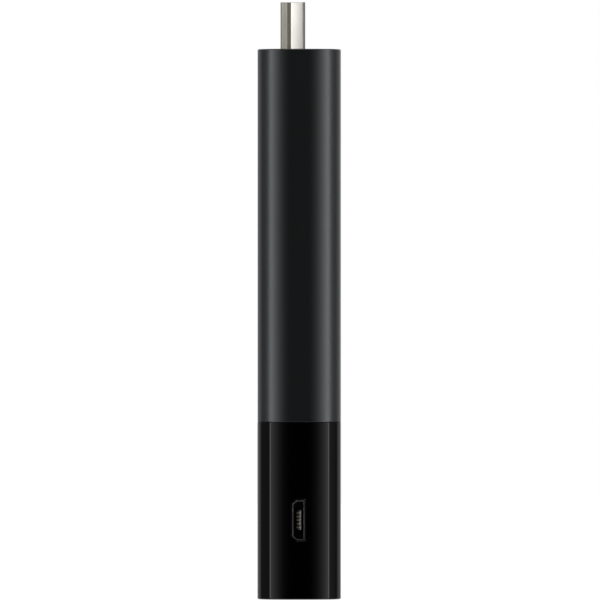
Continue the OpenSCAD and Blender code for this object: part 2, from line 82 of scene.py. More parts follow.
class Graph:
    """Adds and links the nodes of one tree."""

    prefix: str = ""

    def __init__(self, tree: bpy.types.NodeTree) -> None:
        """Empties the tree.

        Args:
            tree: the tree to fill.
        """
        self.tree = tree
        tree.nodes.clear()

    def add(self, kind: str, inputs: Optional[dict] = None, **settings: object) -> bpy.types.Node:
        """Adds a node.

        Args:
            kind: the node's type, without the class's prefix.
            inputs: values or output sockets for its inputs, by name or number.
            settings: values for the node's own properties.

        Returns:
            The new node.
        """
        node = self.tree.nodes.new(self.prefix + kind)
        for name, value in settings.items():
            setattr(node, name, value)
        for name, value in (inputs or {}).items():
            self.feed(node, name, value)
        return node

    def feed(self, node: bpy.types.Node, name: Union[str, int], value: Value) -> None:
        """Links an output socket to a node's input, or sets the input to a plain value.

        Args:
            node: the node.
            name: the input's name or number.
            value: the output socket or the plain value.
        """
        if isinstance(value, Socket):
            self.tree.links.new(value, node.inputs[name])
        else:
            node.inputs[name].default_value = value


class ShaderGraph(Graph):
    """Adds the nodes of a material or a world."""

    prefix: str = "ShaderNode"

    def math(self, operation: str, *values: Value) -> Socket:
        """Adds a Math node on the given values and returns its output."""
        return self.add("Math", dict(enumerate(values)), operation=operation).outputs[0]

    def remap(self, value: Socket, source: Pair, target: Pair) -> Socket:
        """Maps a value from one range to another, and clamps it.

        Args:
            value: the output socket to map.
            source: the two values that become the target's two.
            target: the result at each of them.

        Returns:
            The mapped output.
        """
        spans = {"From Min": source[0], "From Max": source[1], "To Min": target[0], "To Max": target[1]}
        return self.add("MapRange", {"Value": value, **spans}).outputs["Result"]

    def weighted(self, first: Socket, second: Socket, share: float) -> Socket:
        """Adds two values by weight.

        Args:
            first: the first value.
            second: the second value.
            share: the second value's weight, from 0 to 1.

        Returns:
            The weighted sum.
        """
        parts = self.math("MULTIPLY", first, 1.0 - share), self.math("MULTIPLY", second, share)
        return self.math("ADD", *parts)

    def noise(self, point: Socket, grain: float, detail: float = 2.0, seed: float = 0.0) -> Socket:
        """Adds noise with grains of a given size.

        Args:
            point: the output socket that gives the place.
            grain: size of a grain.
            detail: how many finer layers the noise has.
            seed: moves the pattern, so that two patterns differ.

        Returns:
            The noise's value, from 0 to 1.
        """
        inputs = {"Vector": point, "Scale": 1.0 / grain, "Detail": detail, "W": seed}
        return self.add("TexNoise", inputs, noise_dimensions="4D").outputs["Fac"]

    def stretched(self, point: Socket, factors: Sequence[float]) -> Socket:
        """Scales a pattern's place by one factor along each axis."""
        return self.add("Mapping", {"Vector": point, "Scale": factors}).outputs["Vector"]

    def shade_between(self, share: Socket, dark: Value, light: Value) -> Socket:
        """Mixes two colours.

        Args:
            share: the output socket that picks between them.
            dark: the colour at 0, or an output socket that gives it.
            light: the colour at 1, or an output socket that gives it.

        Returns:
            The mixed colour.
        """
        mix = self.add("Mix", data_type="RGBA")
        live = [number for number, socket in enumerate(mix.inputs) if socket.enabled]
        for number, value in zip(live, (share, dark, light)):
            self.feed(mix, number, value if isinstance(value, Socket) else (*value, 1.0))
        return next(out for out in mix.outputs if out.enabled)


@dataclass
class Surface:
    """A material under way: its graph, the place on the piece and the shader."""

    graph: ShaderGraph
    point: Socket
    shader: bpy.types.Node

    def feed(self, name: str, value: Value) -> None:
        """Links or sets one of the shader's inputs."""
        self.graph.feed(self.shader, name, value)

    def uneven(self, pattern: Socket, roughness: float, spread: float) -> None:
        """Varies the roughness with a noise pattern.

        Args:
            pattern: the pattern, mostly between 0.3 and 0.7.
            roughness: the middle roughness.
            spread: share by which the roughness varies to either side.
        """
        ends = (roughness * (1.0 - spread), roughness * (1.0 + spread))
        self.feed("Roughness", self.graph.remap(pattern, (0.3, 0.7), ends))

    def bump(self, height: Socket, depth: float) -> None:
        """Links a height to the shader's normal.

        Args:
            height: the output socket that gives the height, from 0 to 1.
            depth: the height that 1 stands for.
        """
        node = self.graph.add("Bump", {"Height": height, "Distance": depth, "Strength": 1.0})
        self.feed("Normal", node.outputs["Normal"])


# ---------------------------------------------------------------- finishes


@dataclass(frozen=True)
class Finish:
    """What every finish has: its name, its slot name (a second finish has none) and its looks."""

    name: str
    slot: str
    colour: Colour
    roughness: float = 0.5
    variation: float = 0.15

    def material(self) -> bpy.types.Material:
        """Builds the finish's material the first time, and finds it again later.

        Returns:
            The material.
        """
        known = bpy.data.materials.get(self.name)
        if known:
            return known
        made = bpy.data.materials.new(self.name)
        made.use_nodes = True
        graph = ShaderGraph(made.node_tree)
        point = graph.add("TexCoord").outputs["Object"]
        shader = graph.add("BsdfPrincipled", {"Base Color": (*self.colour, 1.0)})
        graph.add("OutputMaterial", {"Surface": shader.outputs[0]})
        self.dress(Surface(graph, point, shader))
        return made

    def mottled(self, graph: ShaderGraph, pattern: Socket) -> Socket:
        """Varies the finish's colour with a pattern.

        Args:
            graph: the material's graph.
            pattern: the output socket that picks between the darkest and the lightest colour.

        Returns:
            The varied colour.
        """
        dark = tuple(channel * (1.0 - self.variation) for channel in self.colour)
        light = tuple(min(1.0, channel * (1.0 + self.variation)) for channel in self.colour)
        return graph.shade_between(pattern, dark, light)

    def dress(self, surface: Surface) -> None:
        """Adds the pattern of one kind of surface to a material."""
        raise NotImplementedError


@dataclass(frozen=True)
class MouldedPlastic(Finish):
    """Plastic from a mould whose surface was spark eroded or only milled."""

    grain: float = 0.12 * MM
    depth: float = 0.004 * MM
    flow: float = 9.0 * MM
    ior: float = 1.5
    specular: float = 0.5
    tint: Colour = (1.0, 1.0, 1.0)

    def dress(self, surface: Surface) -> None:
        """Adds the mould's grain, faint flow marks and uneven roughness.

        Args:
            surface: the material.
        """
        graph = surface.graph
        grain = graph.noise(surface.point, self.grain, detail=3.0)
        flow = graph.noise(graph.stretched(surface.point, (1.0, 1.0, 0.25)), self.flow, detail=1.0, seed=3.0)
        shade = graph.weighted(grain, flow, 0.35)
        surface.feed("Base Color", self.mottled(graph, shade))
        surface.uneven(shade, self.roughness, 0.05)
        surface.feed("IOR", self.ior)
        surface.feed("Specular IOR Level", self.specular)
        surface.feed("Specular Tint", (*self.tint, 1.0))
        surface.bump(grain, self.depth)


@dataclass(frozen=True)
class GlossPlastic(Finish):
    """Polished plastic with the faint waviness and hairlines of a moulded gloss face."""

    wave: float = 7.0 * MM
    wave_depth: float = 0.004 * MM
    hairline: float = 0.09 * MM
    ior: float = 1.5
    specular: float = 0.5

    def dress(self, surface: Surface) -> None:
        """Adds slow waviness, and sparse hairlines in the roughness.

        Args:
            surface: the material.
        """
        graph = surface.graph
        wave = graph.noise(surface.point, self.wave, detail=0.0, seed=5.0)
        drawn = graph.stretched(surface.point, (1.0, 1.0, 0.05))
        hair = graph.noise(drawn, self.hairline, detail=1.0, seed=7.0)
        surface.feed("Base Color", self.mottled(graph, wave))
        surface.feed("Roughness", graph.remap(hair, (0.72, 0.78), (self.roughness, self.roughness * 1.8)))
        surface.feed("IOR", self.ior)
        surface.feed("Specular IOR Level", self.specular)
        surface.bump(wave, self.wave_depth)


@dataclass(frozen=True)
class PlatedMetal(Finish):
    """Sheet or turned metal with a plated skin and fine rolling marks."""

    streak: tuple[float, float, float] = (1.0, 1.0, 0.08)
    grain: float = 0.06 * MM
    cloud: float = 2.5 * MM
    depth: float = 0.0003 * MM

    def dress(self, surface: Surface) -> None:
        """Adds rolling marks, slow clouding and uneven roughness.

        Args:
            surface: the material.
        """
        graph = surface.graph
        roll = graph.noise(graph.stretched(surface.point, self.streak), self.grain, detail=2.0, seed=2.0)
        cloud = graph.noise(surface.point, self.cloud, detail=3.0, seed=4.0)
        shade = graph.weighted(roll, cloud, 0.5)
        # The colour goes through the hook that paints shade, which only the plug's nickel uses.
        surface.feed("Base Color", self.with_painted_shade(surface, self.mottled(graph, shade)))
        surface.uneven(shade, self.roughness, 0.12)
        surface.feed("Metallic", 1.0)
        surface.bump(roll, self.depth)

    def with_painted_shade(self, surface: Surface, colour: Socket) -> Socket:
        """Paints shade into the colour where a finish needs it; this plain finish paints none."""
        return colour


@dataclass(frozen=True)
class PlugNickel(PlatedMetal):
    """Nickel of the plug's shell, with shade painted into its colour beside its narrow part and along two
    folds.
    """

    # Painted shade: the darker colour given to the recess and to the folds.
    painted_shade_colour: Colour = (0.33, 0.325, 0.28)
    recess_shade: Pair = (1.3 * MM, 1.6 * MM)
    fold: Pair = (0.24 * MM, 0.3 * MM)
    fade: float = 0.1 * MM

    def with_painted_shade(self, surface: Surface, colour: Socket) -> Socket:
        """Paints shade on the narrow part's side walls, in the recess beside the step, and along the front
        folds.

        Args:
            surface: the material.
            colour: the output socket that gives the colour without painted shade.

        Returns:
            The colour with the painted shade.
        """
        graph = surface.graph
        low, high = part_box("plug_shell")
        place = graph.add("SeparateXYZ", {"Vector": surface.point}).outputs
        out = graph.math("ABSOLUTE", place["Y"])

        def past(value: Socket, start: float, ends: Pair) -> Socket:
            """Steps from the first of two values to the second where a place passes the start."""
            return graph.remap(value, (start, start + self.fade), ends)

        # Masks of the painted shade: the recessed side walls of the narrow part, and the front folds.
        recessed = past(place["X"], low.x + self.recess_shade[0], (1.0, 0.0))
        aside = past(out, high.y - self.recess_shade[1], (0.0, 1.0))
        folded = past(place["X"], high.x - self.fold[0], (0.0, 1.0))
        edge = past(out, high.y - self.fold[1], (0.0, 1.0))
        recess_shade, fold = graph.math("MULTIPLY", recessed, aside), graph.math("MULTIPLY", folded, edge)
        return graph.shade_between(graph.math("MAXIMUM", recess_shade, fold), colour, self.painted_shade_colour)


@dataclass(frozen=True)
class SolderMask(Finish):
    """Circuit board under solder mask, with tracks and vias that show as raised lines."""

    copper: Colour = (0.03, 0.12, 0.045)
    tin: Colour = (0.42, 0.42, 0.38)
    block: float = 3.4 * MM
    pitch: float = 0.42 * MM
    via_spacing: float = 1.5 * MM
    weave: float = 0.4 * MM
    relief: float = 0.03 * MM

    def dress(self, surface: Surface) -> None:
        """Adds blocks of tracks, tinned vias and the weave that shows through the mask.

        Args:
            surface: the material.
        """
        graph = surface.graph
        place = graph.add("SeparateXYZ", {"Vector": surface.point}).outputs
        flat = graph.add("CombineXYZ", {"X": place["Y"], "Y": place["Z"], "Z": 0.0}).outputs[0]
        dots = {"Vector": flat, "Scale": 1.0 / self.via_spacing, "Randomness": 1.0}
        via = graph.remap(graph.add("TexVoronoi", dots).outputs["Distance"], (0.1, 0.13), (1.0, 0.0))
        raised = graph.math("MAXIMUM", self.tracks(graph, place["Y"], place["Z"], flat), via)
        masked = graph.shade_between(raised, self.colour, self.copper)
        surface.feed("Base Color", graph.shade_between(via, masked, self.tin))
        surface.uneven(graph.noise(flat, self.weave, detail=2.0, seed=6.0), self.roughness, 0.15)
        surface.bump(raised, self.relief)

    def tracks(self, graph: ShaderGraph, y: Socket, z: Socket, flat: Socket) -> Socket:
        """Gives blocks of parallel tracks that run along, across or at a slant, and poured copper.

        Args:
            graph: the material's graph.
            y: the place across the board.
            z: the place along the board.
            flat: both as one vector.

        Returns:
            1 on copper and 0 between.
        """
        cells = {"Vector": flat, "Scale": 1.0 / self.block, "Randomness": 0.8}
        blocks = graph.add("TexVoronoi", cells, distance="CHEBYCHEV", feature="F1").outputs["Color"]
        chance = graph.add("SeparateColor", {"Color": blocks}).outputs
        upright = graph.math("GREATER_THAN", chance["Red"], 0.45)
        slanted = graph.math("GREATER_THAN", chance["Red"], 0.8)
        across = graph.math("ADD", z, graph.math("MULTIPLY", y, slanted))
        along = graph.math("MULTIPLY", graph.math("SUBTRACT", y, across), upright)
        stripe = graph.math("FRACT", graph.math("DIVIDE", graph.math("ADD", across, along), self.pitch))
        middle = graph.math("ABSOLUTE", graph.math("SUBTRACT", stripe, 0.5))
        poured = graph.math("GREATER_THAN", chance["Green"], 0.6)
        return graph.math("MAXIMUM", graph.remap(middle, (0.2, 0.24), (1.0, 0.0)), poured)


@dataclass(frozen=True)
class SoftFoam(Finish):
    """Foam or filled silicone with small cells."""

    cell: float = 0.25 * MM
    blotch: float = 1.6 * MM
    depth: float = 0.03 * MM

    def dress(self, surface: Surface) -> None:
        """Adds open cells and blotches.

        Args:
            surface: the material.
        """
        graph = surface.graph
        pattern = {"Vector": surface.point, "Scale": 1.0 / self.cell}
        cells = graph.add("TexVoronoi", pattern).outputs["Distance"]
        blotch = graph.noise(surface.point, self.blotch, detail=2.0, seed=8.0)
        surface.feed("Base Color", self.mottled(graph, blotch))
        ends = (self.roughness * 1.1, self.roughness * 0.9)
        surface.feed("Roughness", graph.remap(cells, (0.0, 0.8), ends))
        surface.bump(cells, self.depth)


MATT_CHARCOAL = MouldedPlastic(
    "matt_charcoal_sleeve", "sleeve_matt_plastic", (0.021, 0.0236, 0.0258), 0.32, variation=0.12,
    ior=2.0, specular=0.8, tint=(0.93, 0.98, 1.0),
)
GLOSS_BLACK = GlossPlastic("gloss_black_cap", "cap_gloss_plastic", (0.0012, 0.0012, 0.0013), 0.045)
BRIGHT_NICKEL = PlugNickel("bright_nickel_plug", "plug_shell_nickel", (0.86, 0.83, 0.78), 0.3, variation=0.04)
SOCKET_NICKEL = PlatedMetal("nickel_socket", "socket_shell_steel", (0.46, 0.45, 0.435), 0.33, variation=0.08)
CONTACT_GOLD = PlatedMetal("gold_flash_contacts", "contact_gold", (0.83, 0.62, 0.28), 0.25, variation=0.08)
PALE_GOLD = PlatedMetal("pale_gold_contacts", "contact_gold", (0.5, 0.43, 0.3), 0.34, variation=0.08)
CONNECTOR_BLACK = MouldedPlastic(
    "connector_black", "connector_plastic", (0.012, 0.012, 0.012), grain=0.05 * MM,
)
TONGUE_GREY = MouldedPlastic(
    "socket_tongue_black", "connector_plastic", (0.02, 0.02, 0.021), 0.42, grain=0.05 * MM,
)
TRAY_GREY = MouldedPlastic("tray_dark_grey", "tray_plastic", (0.035, 0.035, 0.038), 0.55, grain=0.2 * MM)
CARRIER_CREAM = MouldedPlastic("carrier_cream", "carrier_plastic", (0.62, 0.59, 0.52), grain=0.15 * MM)
CHIP_BLACK = MouldedPlastic("chip_epoxy", "chip_resin", (0.018, 0.018, 0.02), 0.6, grain=0.06 * MM)
FERRITE_GREY = MouldedPlastic(
    "inductor_ferrite", "inductor_ferrite", (0.06, 0.06, 0.066), 0.7, grain=0.08 * MM,
)
CAPACITOR_TAN = MouldedPlastic("capacitor_tan", "capacitor_ceramic", (0.4, 0.27, 0.16), grain=0.1 * MM)
RESISTOR_BLACK = MouldedPlastic(
    "resistor_glaze", "resistor_glaze", (0.014, 0.014, 0.017), 0.3, grain=0.1 * MM,
)
TINNED_END = PlatedMetal("tinned_ends", "", (0.68, 0.68, 0.67), 0.35)
SHIELD_TIN = PlatedMetal(
    "shield_tinplate", "shield_tinplate", (0.66, 0.66, 0.64), 0.3, streak=(1.0, 0.08, 1.0),
)
CRYSTAL_CAN = PlatedMetal("crystal_can", "crystal_can_metal", (0.6, 0.6, 0.6), 0.28)
SCREW_ZINC = PlatedMetal("zinc_screws", "screw_steel", (0.55, 0.56, 0.58), 0.3, streak=(1.0, 1.0, 1.0))
SPREADER_ALUMINIUM = PlatedMetal("spreader_aluminium", "spreader_aluminium", (0.74, 0.75, 0.77), 0.42)
ANTENNA_COPPER = PlatedMetal("antenna_copper", "antenna_copper", (0.78, 0.45, 0.26), 0.33)
BOARD_GREEN = SolderMask("board_green_mask", "board_laminate", (0.01, 0.045, 0.018), 0.32)
GASKET_FOAM = SoftFoam("gasket_foam", "gasket_foam", (0.05, 0.05, 0.053), 0.9)
THERMAL_PAD = SoftFoam(
    "thermal_pad", "thermal_pad_rubber", (0.24, 0.38, 0.5), 0.7, cell=0.15 * MM, depth=0.008 * MM,
)


# ---------------------------------------------------------------- outlines


@dataclass(frozen=True)
class RoundedBar:
    """A rounded rectangle in plan, from which rings of equal point count are taken."""

    half_x: float
    half_y: float
    radius: float
    corner_steps: int = 26
    short_steps: int = 8
    long_steps: int = 14

    def ring(self, inset: float, z: float) -> Ring:
        """Gives one ring, starting in the middle of the -Y side and running towards +X.

        Args:
            inset: how far the ring lies inside the outline.
            z: the ring's height.

        Returns:
            The ring's points.
        """
        reach, half_short = self.radius - inset, self.short_steps // 2
        start = Vector((0.0, -self.half_y + inset, z))
        points: Ring = [start]
        steps = [half_short, self.long_steps, self.short_steps, self.long_steps]
        for corner, (sx, sy) in enumerate([(1, -1), (1, 1), (-1, 1), (-1, -1)]):
            centre = Vector((sx * (self.half_x - self.radius), sy * (self.half_y - self.radius), z))
            quarters = [corner - 1 + i / self.corner_steps for i in range(self.corner_steps + 1)]
            turns = [math.radians(90.0 * share) for share in quarters]
            arc = [centre + reach * Vector((math.cos(a), math.sin(a), 0.0)) for a in turns]
            last, parts = points[-1], steps[corner]
            points += [last.lerp(arc[0], i / parts) for i in range(1, parts)]
            points += arc
        last = points[-1]
        return points + [last.lerp(start, i / half_short) for i in range(1, half_short)]


def edge_stations(end: float, radius: float, steps: int, side: int) -> list[Pair]:
    """Gives a rounded edge as (inset, place) stations, from the side wall round to the end face.

    Args:
        end: place of the end face along the piece.
        radius: the edge's radius.
        steps: number of steps round it.
        side: 1 where the end face is the far one, -1 where it is the near one.

    Returns:
        The stations.
    """
    angles = [math.radians(90.0) * i / steps for i in range(steps + 1)]
    return [(radius * (1.0 - math.cos(a)), end - side * radius * (1.0 - math.sin(a))) for a in angles]


def wall_stations(ends: Pair, edges: Pair, steps: tuple[int, int], hold: float) -> list[Pair]:
    """Gives the stations of a wall that runs between two flat ends, with both edges rounded.

    Args:
        ends: place of the near and of the far end.
        edges: radius of the edge at each end.
        steps: number of steps round each edge.
        hold: length that stays flat beside each edge.

    Returns:
        The (inset, place) stations.
    """
    (low, high), (low_edge, high_edge) = ends, edges
    near = [(low_edge + hold, low), *edge_stations(low, low_edge, steps[0], -1)[::-1]]
    between = [(0.0, low + low_edge + hold), (0.0, high - high_edge - hold)]
    return [*near, *between, *edge_stations(high, high_edge, steps[1], 1), (high_edge + hold, high)]


def sheet_stations(ends: Pair, sheet: float, lip: float, steps: int, hold: float) -> list[Pair]:
    """Gives the stations of a sheet shell: along its outside, round its lip and back inside.

    Args:
        ends: place of its plain end and of its lip.
        sheet: its thickness.
        lip: radius of the lip's edges.
        steps: number of steps round each of them.
        hold: length that stays flat beside the lip.

    Returns:
        The (inset, place) stations.
    """
    root, mouth = ends
    side = 1 if mouth > root else -1
    outside = [(0.0, root), (0.0, mouth - side * (lip + hold)), *edge_stations(mouth, lip, steps, side)]
    return outside + [(sheet - inset, place) for inset, place in reversed(outside)]


def arc_corners(points: Sequence[Point], radii: Sequence[float], steps: int = 4) -> list[Point]:
    """Rounds the corners of a closed outline.

    Args:
        points: the outline's corners, in order.
        radii: radius of each corner; a shorter list is repeated.
        steps: number of steps in each arc.

    Returns:
        The rounded outline.
    """
    rounded: list[Point] = []
    for i, corner in enumerate(points):
        here, radius = Vector(corner), radii[i % len(radii)]
        before = (Vector(points[i - 1]) - here).normalized()
        after = (Vector(points[(i + 1) % len(points)]) - here).normalized()
        half = before.angle(after) / 2.0
        centre = here + (before + after).normalized() * (radius / math.sin(half))
        start = here + before * (radius / math.tan(half)) - centre
        end = here + after * (radius / math.tan(half)) - centre
        sweep = start.angle_signed(end)
        for step in range(steps + 1):
            spoke = start.copy()
            spoke.rotate(Matrix.Rotation(-sweep * step / steps, 2))
            rounded.append(tuple(centre + spoke))
    return rounded


def grown(points: Sequence[Point], gap: float) -> list[Point]:
    """Moves every side of an anticlockwise outline outwards.

    Args:
        points: the outline's corners.
        gap: distance to move each side.

    Returns:
        The larger outline.
    """
    result: list[Point] = []
    for i, corner in enumerate(points):
        here = Vector(corner)
        into = (here - Vector(points[i - 1])).normalized()
        out = (Vector(points[(i + 1) % len(points)]) - here).normalized()
        normal_in, normal_out = Vector((into.y, -into.x)), Vector((out.y, -out.x))
        move = (normal_in + normal_out) / (1.0 + normal_in.dot(normal_out))
        result.append(tuple(here + move * gap))
    return result


def subdivided(points: Sequence[Point], shortest: float, steps: int) -> list[Point]:
    """Divides the long sides of a closed outline.

    Args:
        points: the outline's points.
        shortest: sides shorter than this stay whole.
        steps: number of parts that a longer side is divided into.

    Returns:
        The outline with the added points.
    """
    result: list[Point] = []
    for i, corner in enumerate(points):
        here, ahead = Vector(corner), Vector(points[(i + 1) % len(points)])
        parts = steps if (ahead - here).length > shortest else 1
        result += [tuple(here.lerp(ahead, step / parts)) for step in range(parts)]
    return result


def ribbon(path: Sequence[Point], width: float) -> list[Point]:
    """Gives the outline of a narrow band that follows a path.

    Args:
        path: the band's middle line.
        width: its width.

    Returns:
        The outline.
    """
    runs = [(Vector(ahead) - Vector(here)).normalized() for here, ahead in zip(path, path[1:])]
    left, right = [], []
    for spot, first, last in zip(path, [runs[0], *runs], [*runs, runs[-1]]):
        across = Vector((-(first.y + last.y), first.x + last.x)) / (1.0 + first.dot(last))
        left.append(tuple(Vector(spot) + across * (width / 2.0)))
        right.append(tuple(Vector(spot) - across * (width / 2.0)))
    return left + right[::-1]


def resampled(outline: Sequence[Point], count: int, start: Point, z: float) -> Ring:
    """Spreads points evenly round a closed outline.

    Args:
        outline: the outline's points, in order.
        count: number of points wanted.
        start: the first point is the outline's point nearest to this one.
        z: height of the ring.

    Returns:
        The ring's points.
    """
    near = min(range(len(outline)), key=lambda i: (Vector(outline[i]) - Vector(start)).length)
    loop = [Vector(outline[(near + i) % len(outline)]) for i in range(len(outline) + 1)]
    lengths = [(b - a).length for a, b in zip(loop, loop[1:])]
    total, ring, side, walked = sum(lengths), [], 0, 0.0
    for i in range(count):
        target = total * i / count
        while walked + lengths[side] < target:
            walked += lengths[side]
            side += 1
        spot = loop[side].lerp(loop[side + 1], (target - walked) / max(lengths[side], 1e-12))
        ring.append(Vector((spot.x, spot.y, z)))
    return ring


# ---------------------------------------------------------------- meshes


def loft(rings: Sequence[Ring], closed: bool = False, capped: bool = False) -> Skin:
    """Joins rings of equal point count into one skin.

    Args:
        rings: the rings, in order.
        closed: joins the last ring to the first.
        capped: closes the first and last ring with a flat face.

    Returns:
        The mesh, with its faces pointing outwards.
    """
    skin = bmesh.new()
    rows = [[skin.verts.new(p) for p in ring] for ring in rings]
    pairs = list(zip(rows, rows[1:])) + ([(rows[-1], rows[0])] if closed else [])
    for low, high in pairs:
        for i in range(len(low)):
            j = (i + 1) % len(low)
            skin.faces.new((low[i], low[j], high[j], high[i]))
    if capped:
        skin.faces.new(rows[0])
        skin.faces.new(rows[-1])
    bmesh.ops.recalc_face_normals(skin, faces=skin.faces)
    return skin


def box_mesh(corner: Sequence[float], opposite: Sequence[float], bevel: float = 0.0) -> Skin:
    """Makes a box with rounded edges.

    Args:
        corner: one of its corners.
        opposite: the corner opposite to it.
        bevel: radius of its edges.

    Returns:
        The mesh.
    """
    made = bmesh.new()
    bmesh.ops.create_cube(made, size=1.0)
    low, high = Vector(map(min, corner, opposite)), Vector(map(max, corner, opposite))
    for vert in made.verts:
        vert.co = Vector(low[i] + (vert.co[i] + 0.5) * (high[i] - low[i]) for i in range(3))
    if bevel:
        bmesh.ops.bevel(made, geom=made.edges[:], offset=bevel, segments=3, profile=0.5, affect="EDGES")
    return made


def piece(name: str, meshes: Iterable[Skin], sharp_angle: float = 32.0) -> Piece:
    """Joins meshes into one smooth-shaded object at the origin.

    Args:
        name: the object's name.
        meshes: the meshes to join; they are freed.
        sharp_angle: edges that turn by more than this many degrees stay sharp.

    Returns:
        The object.
    """
    data = bpy.data.meshes.new(name)
    whole = bmesh.new()
    for part in meshes:
        part.to_mesh(data)
        part.free()
        whole.from_mesh(data)
    whole.to_mesh(data)
    whole.free()
    return shade(linked(name, data), sharp_angle)


def linked(name: str, data: bpy.types.ID) -> Piece:
    """Puts a mesh, light or camera in the scene as an object at the origin.

    Args:
        name: the object's name.
        data: the mesh, light or camera.

    Returns:
        The object.
    """
    made = bpy.data.objects.new(name, data)
    bpy.context.scene.collection.objects.link(made)
    return made


def shade(made: Piece, sharp_angle: float) -> Piece:
    """Shades an object smooth but for its sharp edges.

    Args:
        made: the object.
        sharp_angle: edges that turn by more than this many degrees stay sharp.

    Returns:
        The same object.
    """
    for face in made.data.polygons:
        face.use_smooth = True
    made.data.set_sharp_from_angle(angle=math.radians(sharp_angle))
    return made


def settled(made: Piece) -> Piece:
    """Turns an object's modifiers into plain mesh.

    Args:
        made: the object.

    Returns:
        The same object, with its modifiers gone.
    """
    graph = bpy.context.evaluated_depsgraph_get()
    graph.update()
    data = bpy.data.meshes.new_from_object(made.evaluated_get(graph))
    made.modifiers.clear()
    made.data = data
    return made


def add_meshes(made: Piece, meshes: Iterable[Skin], sharp_angle: float) -> None:
    """Adds meshes to a piece that is already built.

    Args:
        made: the piece.
        meshes: the meshes to add; they are freed.
        sharp_angle: edges that turn by more than this many degrees stay sharp.
    """
    extra = piece(made.name + "_extra", meshes)
    whole = bmesh.new()
    whole.from_mesh(made.data)
    whole.from_mesh(extra.data)
    whole.to_mesh(made.data)
    whole.free()
    bpy.data.objects.remove(extra)
    shade(made, sharp_angle)


def cut_out(made: Piece, cutters: Sequence[Skin], sharp_angle: float = 32.0) -> None:
    """Cuts shapes out of a piece.

    Args:
        made: the piece.
        cutters: the shapes to take away; they are freed.
        sharp_angle: edges that turn by more than this many degrees stay sharp.
    """
    tool = piece(made.name + "_cutter", cutters)
    change = made.modifiers.new("cut", "BOOLEAN")
    change.operation, change.solver, change.object = "DIFFERENCE", "EXACT", tool
    settled(made)
    bpy.data.objects.remove(tool)
    shade(made, sharp_angle)


def merged_copy(node: str) -> Skin:
    """Copies a CAD node's mesh and joins its loose triangles.

    Args:
        node: the CAD node's name.

    Returns:
        The merged mesh, with flat faces whole again.
    """
    copy = bmesh.new()
    copy.from_mesh(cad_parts[node].data)
    bmesh.ops.remove_doubles(copy, verts=copy.verts, dist=0.0005 * MM)
    limit, parts = math.radians(0.5), {"verts": copy.verts, "edges": copy.edges}
    bmesh.ops.dissolve_limit(copy, angle_limit=limit, use_dissolve_boundaries=False, **parts)
    return copy


def solids_of(node: str) -> list[tuple[Vector, Vector]]:
    """Finds the box of each separate solid in a CAD node.

    Args:
        node: the CAD node's name.

    Returns:
        The lowest and highest corner of each solid, sorted by place.
    """
    copy, found = merged_copy(node), []
    loose = set(copy.verts)
    while loose:
        seed = loose.pop()
        group, queue = {seed}, [seed]
        while queue:
            near = {vert for edge in queue.pop().link_edges for vert in edge.verts} - group
            group |= near
            queue += near
        loose -= group
        spots = [vert.co for vert in group]
        low = Vector(min(spot[i] for spot in spots) for i in range(3))
        high = Vector(max(spot[i] for spot in spots) for i in range(3))
        found.append((low, high))
    copy.free()
    return sorted(found, key=lambda pair: (round(pair[0].y, 6), round(pair[0].z, 6), pair[0].x))


def dress(made: Piece, finish: Finish, node: str, body: Body = Body.CASING) -> Piece:
    """Gives a piece its finish and its place in the frame.

    Args:
        made: the piece.
        finish: its finish, which it gets unless it carries materials already.
        node: the CAD node that it stands for.
        body: the CAD body that it rides on.

    Returns:
        The piece.
    """
    if not made.data.materials:
        made.data.materials.append(finish.material())
    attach(made, body.value)
    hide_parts(node)
    return made


class Assembly:
    """A part of the player that is made of one or more pieces."""

    def build(self) -> list[Piece]:
        """Builds the pieces and returns them in order."""
        raise NotImplementedError


@dataclass
class Refined(Assembly):
    """Pieces taken from CAD nodes, with the small edge radii that real ones have."""

    finish: Finish
    edge: float
    names: dict[str, str]
    sharp_angle: float = 30.0

    def build(self) -> list[Piece]:
        """Copies each CAD node under a name of its own, rounds its edges and dresses it.

        Returns:
            The pieces.
        """
        made = []
        for node, name in self.names.items():
            copy = piece(name, [merged_copy(node)], self.sharp_angle)
            change = copy.modifiers.new("edges", "BEVEL")
            change.width, change.segments, change.limit_method = self.edge, 2, "ANGLE"
            change.angle_limit = math.radians(self.sharp_angle)
            change.use_clamp_overlap = True
            made.append(dress(shade(settled(copy), self.sharp_angle), self.finish, node))
        return made


# ---------------------------------------------------------------- geometry nodes


class TreeKind(Enum):
    """The geometry trees that this object uses."""

    ROW = "copies_in_a_row"
    PARTS = "soldered_parts_on_points"


